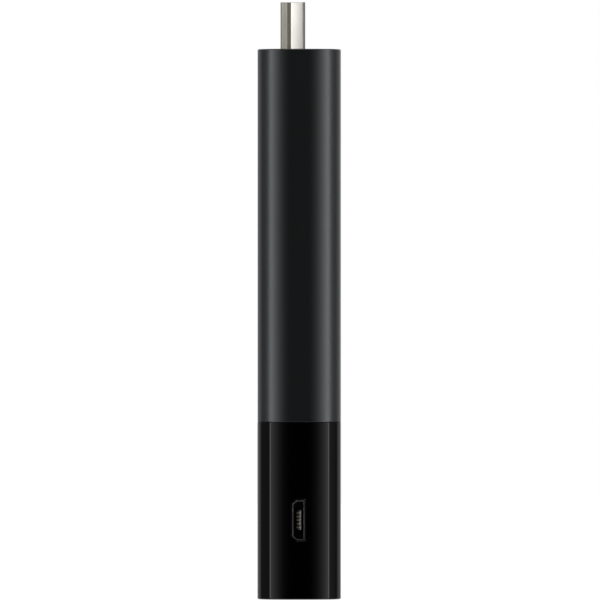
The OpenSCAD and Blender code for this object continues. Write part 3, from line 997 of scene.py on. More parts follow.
class NodeTree(Graph):
    """A geometry tree with named inputs."""

    def __init__(self, kind: TreeKind) -> None:
        """Starts an empty tree.

        Args:
            kind: which tree it is; its value names it.
        """
        super().__init__(bpy.data.node_groups.new(kind.value, "GeometryNodeTree"))
        for way in ("INPUT", "OUTPUT"):
            self.tree.interface.new_socket("Geometry", in_out=way, socket_type="NodeSocketGeometry")

    def takes(self, **inputs: str) -> None:
        """Adds named inputs, each with its socket type less the "NodeSocket" prefix."""
        for name, kind in inputs.items():
            self.tree.interface.new_socket(name, in_out="INPUT", socket_type="NodeSocket" + kind)

    def math(self, operation: str, first: Value, second: Value) -> Socket:
        """Adds a Math node and returns its output."""
        return self.add("ShaderNodeMath", {0: first, 1: second}, operation=operation).outputs[0]

    def scaled(self, vector: Socket, side: float, height: Value) -> Socket:
        """Multiplies a vector's X and Y by one factor and its Z by another."""
        factors = self.add("ShaderNodeCombineXYZ", {"X": side, "Y": side, "Z": height}).outputs[0]
        return self.add("ShaderNodeVectorMath", {0: vector, 1: factors}, operation="MULTIPLY").outputs[0]

    def coated(self, instances: Socket, finish: Socket) -> Socket:
        """Makes instances real, gives them a material and returns them."""
        whole = self.add("GeometryNodeRealizeInstances", {"Geometry": instances}).outputs[0]
        return self.add("GeometryNodeSetMaterial", {"Geometry": whole, "Material": finish}).outputs[0]

    def run(self, made: Piece, **values: object) -> Piece:
        """Runs the tree on an object and keeps the result as plain mesh.

        Args:
            made: the object that carries the tree's input geometry.
            values: a value for each named input.

        Returns:
            The same object.
        """
        change = made.modifiers.new(self.tree.name, "NODES")
        change.node_group = self.tree
        for item in self.tree.interface.items_tree:
            if item.in_out == "INPUT" and item.name in values:
                change[item.identifier] = values[item.name]
        return settled(made)


def row_tree() -> NodeTree:
    """Builds the tree that repeats its input along a straight row.

    Returns:
        The tree, with the inputs count, pitch and finish.
    """
    made = NodeTree(TreeKind.ROW)
    made.takes(count="Int", pitch="Vector", finish="Material")
    source = made.add("NodeGroupInput").outputs
    steps = {"Count": source["count"], "Offset": source["pitch"]}
    line = made.add("GeometryNodeMeshLine", steps, mode="OFFSET").outputs["Mesh"]
    copies = {"Points": line, "Instance": source["Geometry"]}
    placed = made.add("GeometryNodeInstanceOnPoints", copies).outputs["Instances"]
    made.add("NodeGroupOutput", {"Geometry": made.coated(placed, source["finish"])})
    return made


def parts_tree() -> NodeTree:
    """Builds the tree that puts a two-ended soldered part on each point.

    Each point's "part_size" gives the part's size. Its ends lie along Z, and its body is a
    little slimmer than they are.

    Returns:
        The tree, with the inputs end_share, body_finish and end_finish.
    """
    made = NodeTree(TreeKind.PARTS)
    made.takes(end_share="Float", body_finish="Material", end_finish="Material")
    source = made.add("NodeGroupInput").outputs
    size = made.add("GeometryNodeInputNamedAttribute", {"Name": "part_size"}, data_type="FLOAT_VECTOR")
    size = size.outputs["Attribute"]
    unit = made.add("GeometryNodeMeshCube", {"Size": (1.0, 1.0, 1.0)}).outputs["Mesh"]

    def blocks(points: Socket, scale: Socket, finish: Socket) -> Socket:
        """Puts scaled unit cubes on points and coats them."""
        inputs = {"Points": points, "Instance": unit, "Scale": scale}
        return made.coated(made.add("GeometryNodeInstanceOnPoints", inputs).outputs["Instances"], finish)

    share = source["end_share"]
    middle = made.math("SUBTRACT", 1.0, made.math("MULTIPLY", share, 2.0))
    solids = [blocks(source["Geometry"], made.scaled(size, 0.94, middle), source["body_finish"])]
    for direction in (-0.5, 0.5):
        reach = made.math("MULTIPLY", made.math("SUBTRACT", 1.0, share), direction)
        offset = {"Geometry": source["Geometry"], "Offset": made.scaled(size, 0.0, reach)}
        moved = made.add("GeometryNodeSetPosition", offset).outputs["Geometry"]
        solids.append(blocks(moved, made.scaled(size, 1.0, share), source["end_finish"]))
    joined = made.add("GeometryNodeJoinGeometry")
    for solid in solids:
        made.feed(joined, "Geometry", solid)
    made.add("NodeGroupOutput", {"Geometry": joined.outputs["Geometry"]})
    return made


# ---------------------------------------------------------------- connector outlines


@dataclass
class PlugOutline:
    """The keyed outline of the video plug, wide towards +X."""

    low: Vector = field(default_factory=lambda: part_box("plug_shell")[0])
    high: Vector = field(default_factory=lambda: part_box("plug_shell")[1])
    narrow_width: float = 11.1 * MM
    neck: float = 1.25 * MM
    shoulder: float = 0.6 * MM

    @property
    def middle_x(self) -> float:
        """X of the plug's middle plane."""
        return (self.low.x + self.high.x) / 2.0

    def corners(self) -> list[Point]:
        """Gives the outline's eight corners.

        Returns:
            The corners in X and Y, anticlockwise.
        """
        narrow, step = self.narrow_width / 2.0, self.low.x + self.neck
        right = [(self.low.x, -narrow), (step, -narrow)]
        right += [(step + self.shoulder, self.low.y), (self.high.x, self.low.y)]
        return right + [(x, -y) for x, y in reversed(right)]


@dataclass
class SocketOutline:
    """The keyed outline of the power socket, in X and Z, wide towards +X."""

    middle_x: float = -0.15 * MM
    middle_z: float = 14.3 * MM
    thickness: float = 2.4 * MM
    width: float = 7.3 * MM
    slope: Pair = (0.8 * MM, 0.7 * MM)

    def corners(self) -> list[Point]:
        """Gives the outline's six corners.

        Returns:
            The corners in X and Z, anticlockwise.
        """
        back, front = self.middle_x - self.thickness / 2.0, self.middle_x + self.thickness / 2.0
        low, high = self.middle_z - self.width / 2.0, self.middle_z + self.width / 2.0
        cut_x, cut_z = self.slope
        lower = [(back, low + cut_z), (back + cut_x, low), (front, low)]
        return lower + [(front, high), (back + cut_x, high), (back, high - cut_z)]

    def ring(self, gap: float, radius: float, y: float, steps: int = 4) -> Ring:
        """Gives the outline at one depth, with rounded corners.

        Args:
            gap: distance that it is grown by.
            radius: radius of its corners.
            y: the ring's depth.
            steps: number of steps in each corner.

        Returns:
            The ring's points.
        """
        outline = arc_corners(grown(self.corners(), gap), [radius], steps)
        return [Vector((x, y, z)) for x, z in outline]


# ---------------------------------------------------------------- casing


@dataclass
class Sleeve(Assembly):
    """The matt sleeve, closed at the plug end but for the plug's slot."""

    plug: PlugOutline
    wall: float = 1.3 * MM
    corner: float = 6.0 * MM
    inner_corner: float = 0.4 * MM
    top_edge: float = 0.24 * MM
    rim_edge: float = 0.12 * MM
    rim_lead: float = 0.12 * MM
    slot_edge: float = 0.18 * MM
    slot_corner: float = 0.3 * MM
    slot_gap: float = 0.1 * MM
    hold: float = 0.08 * MM
    steps: int = 6
    rib_height: float = 0.5 * MM
    rib_width: float = 0.8 * MM
    rib_edge: float = 0.12 * MM
    rib_root: float = 0.2 * MM
    rib_place: float = 7.6 * MM
    rib_ends: Pair = (40.0 * MM, 88.0 * MM)

    def build(self) -> list[Piece]:
        """Builds the sleeve round the plug's outline.

        Returns:
            The sleeve.
        """
        low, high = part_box("outer_sleeve")
        bar = RoundedBar(high.x, high.y, self.corner)
        edges = (self.rim_edge, self.top_edge)
        outside = [(self.wall + self.rim_lead, low.z + self.rim_lead), (self.wall, low.z)]
        outside += wall_stations((low.z, high.z), edges, (self.steps, self.steps), self.hold)
        inside = [(self.wall + self.inner_corner, high.z - self.wall), (self.wall, high.z - self.wall)]
        rings = [bar.ring(inset, z) for inset, z in outside]
        rings += self.slot_rings(high.z, len(rings[0]))
        rings += [bar.ring(inset, z) for inset, z in inside]
        made = piece("sleeve_shell", [loft(rings, closed=True), *self.rib_meshes(high.x - self.wall)])
        return [dress(made, MATT_CHARCOAL, "outer_sleeve")]

    def slot_rings(self, top: float, count: int) -> list[Ring]:
        """Gives the rings that run down through the plug's slot.

        Args:
            top: height of the end face.
            count: number of points in each ring.

        Returns:
            The rings, from the top down.
        """
        stations = [(self.slot_edge + self.hold, top)]
        stations += edge_stations(top, self.slot_edge, self.steps, 1)[::-1]
        stations += [(0.0, top - self.slot_edge - self.hold), (0.0, top - self.wall)]
        start, rings = (self.plug.middle_x, 2.0 * self.plug.low.y), []
        for flare, z in stations:
            corners = grown(self.plug.corners(), self.slot_gap + flare)
            rings.append(resampled(arc_corners(corners, [self.slot_corner + flare]), count, start, z))
        return rings

    def rib_meshes(self, inner: float) -> list[Skin]:
        """Gives the four inner ribs that press on the heat spreaders.

        Args:
            inner: X of the broad wall's inner face.

        Returns:
            The ribs' meshes.
        """
        made = []
        for side, across in product((-1, 1), repeat=2):
            y, half = across * self.rib_place, self.rib_width / 2.0
            crest = (side * (inner - self.rib_height), y - half, self.rib_ends[0])
            root = (side * (inner + self.rib_root), y + half, self.rib_ends[1])
            made.append(box_mesh(crest, root, self.rib_edge))
        return made


@dataclass
class EndCap(Assembly):
    """The gloss end cap with the power socket's opening."""

    socket: SocketOutline
    wall: float = 1.4 * MM
    floor: float = 1.6 * MM
    corner: float = 6.05 * MM
    inner_corner: float = 0.5 * MM
    base_edge: float = 0.28 * MM
    rim_edge: float = 0.03 * MM
    seam: float = 0.04 * MM
    hold: float = 0.08 * MM
    steps: tuple[int, int] = (6, 4)
    mouth_gap: float = 0.1 * MM
    mouth_corner: float = 0.22 * MM
    mouth_chamfer: float = 0.06 * MM
    spare: Pair = (0.3 * MM, 1.0 * MM)
    snap_thickness: float = 0.9 * MM
    snap_width: float = 17.0 * MM
    snap_ends: Pair = (-3.5 * MM, 3.2 * MM)
    snap_edge: float = 0.15 * MM
    snap_root: Pair = (0.25 * MM, 0.02 * MM)
    bead_radius: float = 0.33 * MM
    bead_length: float = 14.0 * MM
    bead_rise: float = 2.2 * MM

    def build(self) -> list[Piece]:
        """Builds the cap and cuts the socket's opening.

        Returns:
            The cap.
        """
        low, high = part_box("end_cap")
        rim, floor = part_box("outer_sleeve")[0].z - self.seam, low.z + self.floor
        bar = RoundedBar(high.x, high.y, self.corner)
        stations = wall_stations((low.z, rim), (self.base_edge, self.rim_edge), self.steps, self.hold)
        stations += [(self.wall, rim), (self.wall, floor + self.inner_corner)]
        stations += [(self.wall + self.inner_corner, floor)]
        skin = loft([bar.ring(inset, z) for inset, z in stations], capped=True)
        made = piece("end_cap_shell", [skin, *self.snap_meshes(rim)])
        cut_out(made, [self.mouth_cutter(low.y)])
        return [dress(made, GLOSS_BLACK, "end_cap")]

    def mouth_cutter(self, face_y: float) -> Skin:
        """Gives the shape that opens the cap's wall, flared at the outer face.

        Args:
            face_y: Y of the cap's outer face.

        Returns:
            The cutter.
        """
        outside, beyond = self.spare
        stations = [(self.mouth_gap + self.mouth_chamfer + outside, face_y - outside)]
        stations += [(self.mouth_gap, face_y + depth) for depth in (self.mouth_chamfer, self.wall + beyond)]
        rings = [self.socket.ring(gap, self.mouth_corner + gap * 0.5, y) for gap, y in stations]
        return loft(rings, capped=True)

    def snap_meshes(self, rim: float) -> list[Skin]:
        """Gives the two snap tongues that hold the cap in the sleeve.

        Args:
            rim: height of the cap's rim.

        Returns:
            The meshes of the tongues, their thicker roots and their beads.
        """
        outer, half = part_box("outer_sleeve")[1].x - self.wall, self.snap_width / 2.0
        foot, tip = rim + self.snap_ends[0], rim + self.snap_ends[1]
        sink, step = self.snap_root
        made = []
        for side in (-1, 1):
            inner, face, wall = (side * (outer + offset) for offset in (-self.snap_thickness, 0.0, sink))
            made.append(box_mesh((inner, -half, foot), (face, half, tip), self.snap_edge))
            made.append(box_mesh((inner, -half, foot), (wall, half, rim - step)))
            bead, spot = bmesh.new(), Matrix.Translation((face, 0.0, rim + self.bead_rise))
            bmesh.ops.create_cone(
                bead, cap_ends=True, segments=24, radius1=self.bead_radius, radius2=self.bead_radius,
                depth=self.bead_length, matrix=spot @ Matrix.Rotation(math.pi / 2, 4, "X"),
            )
            made.append(bead)
        return made


# ---------------------------------------------------------------- connectors


@dataclass
class SpringContact:
    """One spring contact of the plug: a thin strip that leans in to its touching point."""

    side: float
    middle_x: float
    bottom: float
    mouth: float
    thickness: float = 0.2 * MM
    edge: float = 0.035 * MM
    root: Pair = (1.15 * MM, 1.0 * MM)
    touch: Pair = (0.7 * MM, 2.5 * MM)
    tip: Pair = (0.95 * MM, 1.3 * MM)
    bend: float = 0.64 * MM
    bend_share: float = 0.4
    bend_steps: int = 5

    def path(self) -> list[Vector]:
        """Gives the strip's middle line, with rounded bends.

        Returns:
            The line's points, in X and Z.
        """
        raw = [(self.root[0], self.bottom), (self.root[0], self.bottom + self.root[1])]
        raw += [(self.touch[0], self.mouth - self.touch[1]), (self.tip[0], self.mouth - self.tip[1])]
        points = [Vector((self.middle_x + self.side * x, z)) for x, z in raw]
        smooth = [points[0]]
        for before, here, after in zip(points, points[1:], points[2:]):
            reach = min(self.bend_share * min((here - before).length, (after - here).length), self.bend)
            start = here + (before - here).normalized() * reach
            end = here + (after - here).normalized() * reach
            shares = [i / self.bend_steps for i in range(self.bend_steps + 1)]
            smooth += [start.lerp(here, t).lerp(here.lerp(end, t), t) for t in shares]
        return [*smooth, points[-1]]

    def mesh(self, y: float, width: float) -> Skin:
        """Gives the strip's mesh.

        Args:
            y: the strip's middle.
            width: its width.

        Returns:
            The mesh.
        """
        line, half_t, half_w = self.path(), self.thickness / 2.0, width / 2.0
        section = [(half_w - self.edge, half_t), (half_w, half_t - self.edge)]
        section += [(half_w, self.edge - half_t), (half_w - self.edge, -half_t)]
        section += [(-w, t) for w, t in reversed(section)]
        rings = []
        for before, spot, after in zip([line[0], *line], line, [*line[1:], line[-1]]):
            ahead = (after - before).normalized()
            rings.append([Vector((spot.x + ahead.y * t, y + w, spot.y - ahead.x * t)) for w, t in section])
        return loft(rings, capped=True)


@dataclass
class VideoPlug(Assembly):
    """The video plug: folded shell, insulator and two rows of contacts."""

    outline: PlugOutline
    row: NodeTree
    sheet: float = 0.3 * MM
    corner: float = 0.28 * MM
    fold: float = 0.12 * MM
    tightest: float = 0.08 * MM
    lip: float = 0.08 * MM
    lip_hold: float = 0.05 * MM
    crown: float = 0.034 * MM
    crown_span: float = 0.3 * MM
    crown_steps: int = 8
    shell_length: float = 12.2 * MM
    leg_ends: Pair = (-1.6 * MM, 1.0 * MM)
    leg_overlap: float = 0.4 * MM
    leg_edge: float = 0.06 * MM
    latch: Pair = (2.2 * MM, 1.4 * MM)
    latch_reach: float = 0.5 * MM
    latch_place: Pair = (3.0 * MM, 4.5 * MM)
    seam_width: float = 0.07 * MM
    seam_depth: float = 0.09 * MM
    seam_ends: Pair = (6.6 * MM, 2.6 * MM)
    seam_tail: Pair = (0.55 * MM, 0.95 * MM)
    spare: float = 0.2 * MM

    def build(self) -> list[Piece]:
        """Builds every piece of the plug.

        Returns:
            The shell, the insulator, the spring rows, the fixed tails and the foam frame.
        """
        tails = {"plug_tails_front": "plug_front_tails", "plug_tails_rear": "plug_rear_tails"}
        return [
            self.shell(),
            *Refined(CONNECTOR_BLACK, 0.05 * MM, {"plug_insulator": "plug_moulded_body"}).build(),
            self.spring_row("plug_springs_front", "plug_front_contact_row", Body.FRONT_SPRINGS),
            self.spring_row("plug_springs_rear", "plug_rear_contact_row", Body.REAR_SPRINGS),
            *Refined(CONTACT_GOLD, 0.03 * MM, tails).build(),
            *Refined(GASKET_FOAM, 0.15 * MM, {"plug_gasket": "plug_foam_frame"}).build(),
        ]

    def shell(self) -> Piece:
        """Builds the folded shell, with latch holes, a dovetailed seam and two soldered legs.

        Returns:
            The shell.
        """
        top = self.outline.high.z
        bottom = top - self.shell_length
        stations = sheet_stations((bottom, top), self.sheet, self.lip, 5, self.lip_hold)
        skin = loft([self.section(inset, z) for inset, z in stations], closed=True)
        made = piece("plug_folded_shell", [skin])
        cut_out(made, [*self.latch_cutters(top), self.seam_cutter(bottom, top)], SHEET_SHARP)
        add_meshes(made, self.leg_meshes(bottom), SHEET_SHARP)
        return dress(made, BRIGHT_NICKEL, "plug_shell")

    def section(self, inset: float, z: float) -> Ring:
        """Gives one ring of the shell, with side walls that bulge slightly.

        Args:
            inset: how far the ring lies inside the outline.
            z: the ring's height.

        Returns:
            The ring's points.
        """
        plug = self.outline
        folds = (self.corner, self.fold, self.fold, self.corner)
        radii = [max(self.tightest, radius - inset) for radius in folds]
        outline = arc_corners(grown(plug.corners(), -inset), radii, 6)
        middle = (plug.low.x + plug.neck + plug.shoulder + plug.high.x) / 2.0
        ring = []
        for x, y in subdivided(outline, self.crown_span, self.crown_steps):
            if abs(y) > plug.narrow_width / 2.0 + 0.5 * MM:
                y -= math.copysign(self.crown * ((x - middle) / (plug.high.x - middle)) ** 2, y)
            ring.append(Vector((x, y, z)))
        return ring

    def leg_meshes(self, bottom: float) -> list[Skin]:
        """Gives the two legs that are soldered into the board's notches.

        Args:
            bottom: height of the shell's lower edge.

        Returns:
            The legs' meshes.
        """
        low, high, x = self.outline.low, self.outline.high, self.outline.middle_x
        made = []
        for side in (-1, 1):
            foot = (x + self.leg_ends[0], side * high.y, low.z)
            root = (x + self.leg_ends[1], side * (high.y - self.sheet), bottom + self.leg_overlap)
            made.append(box_mesh(foot, root, self.leg_edge))
        return made

    def latch_cutters(self, top: float) -> list[Skin]:
        """Gives the shapes that cut two latch holes in each broad face.

        Args:
            top: height of the plug's mouth.

        Returns:
            The cutters.
        """
        half = Vector((self.latch_reach, self.latch[0] / 2.0, self.latch[1] / 2.0))
        made = []
        for side, x in product((-1, 1), (self.outline.low.x, self.outline.high.x)):
            middle = Vector((x, side * self.latch_place[0], top - self.latch_place[1]))
            made.append(box_mesh(middle - half, middle + half))
        return made

    def seam_cutter(self, bottom: float, top: float) -> Skin:
        """Gives the thin shape that cuts the shell's dovetailed seam into its narrow broad face.

        Args:
            bottom: height of the shell's lower edge.
            top: height of its mouth.

        Returns:
            The cutter.
        """
        x, (narrow, wide) = self.outline.low.x, self.seam_tail
        tail_low, tail_high = top - self.seam_ends[0], top - self.seam_ends[1]
        path = [(0.0, bottom - self.spare), (0.0, tail_low), (-narrow, tail_low), (-wide, tail_high)]
        path += [(0.0, tail_high), (0.0, top + self.spare)]
        outline, depths = ribbon(path, self.seam_width), (x - self.spare, x + self.seam_depth)
        return loft([[Vector((depth, y, z)) for y, z in outline] for depth in depths], capped=True)

    def spring_row(self, node: str, name: str, body: Body) -> Piece:
        """Builds one row of spring contacts.

        Args:
            node: the CAD node that the row stands for.
            name: the piece's name.
            body: the body that the row rides on.

        Returns:
            The row.
        """
        solids = solids_of(node)
        (low, high), (second, _) = solids[:2]
        side = 1.0 if body is Body.FRONT_SPRINGS else -1.0
        contact = SpringContact(side, self.outline.middle_x, low.z, self.outline.high.z)
        made = piece(name, [contact.mesh((low.y + high.y) / 2.0, high.y - low.y)], CONTACT_SHARP)
        pitch = (0.0, second.y - low.y, 0.0)
        self.row.run(made, count=len(solids), pitch=pitch, finish=CONTACT_GOLD.material())
        return dress(shade(made, CONTACT_SHARP), CONTACT_GOLD, node, body)


@dataclass
class PowerSocket(Assembly):
    """The power socket: folded shell, tongue and five contacts."""

    outline: SocketOutline
    row: NodeTree
    sheet: float = 0.25 * MM
    corner: float = 0.3 * MM
    tightest: float = 0.08 * MM
    lip: float = 0.06 * MM
    lip_hold: float = 0.03 * MM
    cavity: Pair = (1.9 * MM, 0.3 * MM)
    foot_depths: Pair = (2.3 * MM, 4.1 * MM)
    foot_size: tuple[float, float, float] = (0.7 * MM, 1.1 * MM, 0.9 * MM)
    foot_gap: float = 0.02 * MM
    foot_edge: float = 0.05 * MM
    contact_edge: float = 0.02 * MM
    tongue_front: float = 0.5 * MM
    lead_in: Pair = (0.27 * MM, 0.1 * MM)
    spare: float = 0.2 * MM

    def build(self) -> list[Piece]:
        """Builds the shell, the tongue and the contacts and returns them."""
        return [self.shell(), self.tongue(), self.contacts()]

    def shell(self) -> Piece:
        """Builds the folded shell with its four soldered feet.

        Returns:
            The shell.
        """
        low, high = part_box("socket_shell")
        stations, rings = sheet_stations((high.y, low.y), self.sheet, self.lip, 4, self.lip_hold), []
        for inset, y in stations:
            rings.append(self.outline.ring(-inset, max(self.tightest, self.corner - inset), y, 5))
        meshes = [loft(rings, closed=True), *self.foot_meshes(low.y)]
        made = piece("socket_folded_shell", meshes, SHEET_SHARP)
        depths = (low.y + self.cavity[0], high.y - self.cavity[1])
        cutter = loft([self.outline.ring(-self.sheet, self.tightest, y, 5) for y in depths], capped=True)
        cut_out(made, [cutter], SHEET_SHARP)
        return dress(made, SOCKET_NICKEL, "socket_shell")

    def foot_meshes(self, mouth: float) -> list[Skin]:
        """Gives the four feet that are soldered to the board.

        Args:
            mouth: Y of the socket's mouth.

        Returns:
            The feet's meshes.
        """
        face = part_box("circuit_board")[1].x + self.foot_gap
        thick, length, width = self.foot_size
        made = []
        for end, depth in product((-1, 1), self.foot_depths):
            z, y = self.outline.middle_z + end * self.outline.width / 2.0, mouth + depth
            low, high = (face, y, z - width / 2.0), (face + thick, y + length, z + width / 2.0)
            made.append(box_mesh(low, high, self.foot_edge))
        return made

    def tongue(self) -> Piece:
        """Builds the moulded tongue, with a lead-in chamfer along the edge of its tip.

        Returns:
            The tongue.
        """
        low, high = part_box("socket_tongue")
        (width, depth), spare = self.lead_in, self.spare
        face = self.outline.middle_x + self.tongue_front
        wedge = [(face - width, low.y), (face, low.y + depth), (face + spare, low.y + depth)]
        wedge += [(face + spare, low.y - spare), (face - width, low.y - spare)]
        made = piece("socket_moulded_tongue", [merged_copy("socket_tongue")], 30.0)
        ends = (low.z - spare, high.z + spare)
        cut_out(made, [loft([[Vector((x, y, z)) for x, y in wedge] for z in ends], capped=True)], 15.0)
        return dress(made, TONGUE_GREY, "socket_tongue")

    def contacts(self) -> Piece:
        """Builds the five contacts.

        Returns:
            The row.
        """
        solids = sorted(solids_of("socket_contacts"), key=lambda pair: pair[0].z)
        (first, above), (second, _) = solids[:2]
        unit = merged_copy("socket_contacts")
        others = [vert for vert in unit.verts if vert.co.z > (above.z + second.z) / 2.0]
        bmesh.ops.delete(unit, geom=others, context="VERTS")
        edges, edge = unit.edges[:], self.contact_edge
        bmesh.ops.bevel(unit, geom=edges, offset=edge, segments=2, profile=0.5, affect="EDGES")
        made = piece("socket_contact_row", [unit], CONTACT_SHARP)
        pitch = (0.0, 0.0, second.z - first.z)
        self.row.run(made, count=len(solids), pitch=pitch, finish=PALE_GOLD.material())
        return dress(shade(made, CONTACT_SHARP), PALE_GOLD, "socket_contacts")


# ---------------------------------------------------------------- inside


INNER_PIECES = [
    Refined(TRAY_GREY, 0.15 * MM, {"inner_tray": "module_tray"}),
    Refined(SCREW_ZINC, 0.06 * MM, {"board_screws": "tray_screws"}),
    Refined(BOARD_GREEN, 0.05 * MM, {"circuit_board": "main_board"}),
    Refined(CHIP_BLACK, 0.06 * MM, {"main_processor": "processor_package", "memory_chip": "memory_package"}),
    Refined(CHIP_BLACK, 0.06 * MM, {"storage_chip": "storage_package"}),
    Refined(CHIP_BLACK, 0.05 * MM, {"power_chip": "power_package", "radio_chip": "radio_package"}),
    Refined(CHIP_BLACK, 0.04 * MM, {"surge_protectors": "surge_packages"}),
    Refined(CRYSTAL_CAN, 0.12 * MM, {"crystals": "crystal_cans"}),
    Refined(FERRITE_GREY, 0.15 * MM, {"power_inductors": "inductor_blocks"}),
    Refined(SHIELD_TIN, 0.03 * MM, {"front_shield_fence": "front_fence"}),
    Refined(SHIELD_TIN, 0.05 * MM, {"front_shield_lid": "front_lid"}),
    Refined(SHIELD_TIN, 0.03 * MM, {"rear_shield_fence": "rear_fence"}),
    Refined(SHIELD_TIN, 0.05 * MM, {"rear_shield_lid": "rear_lid", "radio_shield_can": "radio_can"}),
    Refined(CARRIER_CREAM, 0.12 * MM, {"antenna_carrier": "antenna_block"}),
    Refined(ANTENNA_COPPER, 0.02 * MM, {"antenna_left": "left_antenna_sheet"}),
    Refined(ANTENNA_COPPER, 0.02 * MM, {"antenna_right": "right_antenna_sheet"}),
    Refined(CONTACT_GOLD, 0.02 * MM, {"antenna_feed_springs": "feed_springs"}),
    Refined(THERMAL_PAD, 0.1 * MM, {"processor_pad": "processor_soft_pad"}),
    Refined(THERMAL_PAD, 0.1 * MM, {"front_thermal_pad": "front_soft_pad"}),
    Refined(THERMAL_PAD, 0.1 * MM, {"rear_thermal_pad": "rear_soft_pad"}),
    Refined(SPREADER_ALUMINIUM, 0.12 * MM, {"front_heat_spreader": "front_spreader"}),
    Refined(SPREADER_ALUMINIUM, 0.12 * MM, {"rear_heat_spreader": "rear_spreader"}),
]


@dataclass
class Electronics(Assembly):
    """The board module inside the casing."""

    parts: NodeTree
    solder_edge: float = 0.03 * MM

    def build(self) -> list[Piece]:
        """Builds every inner piece.

        Returns:
            The pieces.
        """
        made = [part for group in INNER_PIECES for part in group.build()]
        made.append(self.soldered("ceramic_capacitors", "capacitors", CAPACITOR_TAN, 0.24))
        made.append(self.soldered("chip_resistors", "resistors", RESISTOR_BLACK, 0.2))
        return made

    def soldered(self, node: str, name: str, finish: Finish, end_share: float) -> Piece:
        """Builds the small two-ended parts of one CAD node.

        Args:
            node: the CAD node that they stand for.
            name: the piece's name.
            finish: finish of the parts' bodies.
            end_share: length of each tinned end, as a share of the part's length.

        Returns:
            The piece.
        """
        boxes = solids_of(node)
        data = bpy.data.meshes.new(name)
        data.from_pydata([(low + high) / 2.0 for low, high in boxes], [], [])
        sizes = data.attributes.new("part_size", "FLOAT_VECTOR", "POINT")
        sizes.data.foreach_set("vector", [value for low, high in boxes for value in high - low])
        made, ends = linked(name, data), TINNED_END.material()
        self.parts.run(made, end_share=end_share, body_finish=finish.material(), end_finish=ends)
        change = made.modifiers.new("edges", "BEVEL")
        change.width, change.segments = self.solder_edge, 2
        return dress(shade(settled(made), 30.0), finish, node)


# ---------------------------------------------------------------- studio


WHITE = (1.0, 1.0, 1.0, 1.0)
LEFT_PANEL = [
    (0.0, 0.005), (10.0, 0.015), (28.0, 0.07), (42.0, 0.2), (57.0, 0.45), (70.0, 0.74),
    (73.0, 0.8), (74.5, 1.8), (77.5, 1.8), (79.0, 0.13), (90.0, 0.12), (120.0, 0.08),
    (127.0, 0.12), (132.0, 0.36), (142.0, 0.32), (158.0, 0.45), (180.0, 0.8),
]
RIGHT_PANEL = [
    (0.0, 0.005), (13.0, 0.02), (31.0, 0.1), (45.0, 0.25), (60.0, 0.52), (72.0, 0.88),
    (75.0, 0.92), (76.0, 1.9), (79.0, 1.9), (80.5, 0.24), (90.0, 0.2), (118.0, 0.06),
    (125.0, 0.24), (132.0, 0.45), (139.0, 0.2), (145.0, 0.2), (153.0, 0.95), (180.0, 1.0),
]


@dataclass
class Card:
    """A soft card that lights only the named pieces."""

    name: str
    target: Vector
    turn: float
    size: Pair
    power: float
    pieces: list[str]
    distance: float = 150.0 * MM

    def build(self) -> None:
        """Adds the card, turned by its angle from the camera's side towards +X."""
        light = bpy.data.lights.new(self.name, "AREA")
        light.shape, light.energy = "RECTANGLE", self.power
        light.size, light.size_y = self.size
        made, turn = linked(self.name, light), math.radians(self.turn)
        away = Vector((math.sin(turn), -math.cos(turn), 0.0))
        made.location = self.target + away * self.distance
        made.rotation_euler = (-away).to_track_quat("-Z", "Y").to_euler()
        made.visible_camera = False
        receivers = bpy.data.collections.new(self.name + "_receivers")
        for name in self.pieces:
            receivers.objects.link(bpy.data.objects[name])
        made.light_linking.receiver_collection = receivers


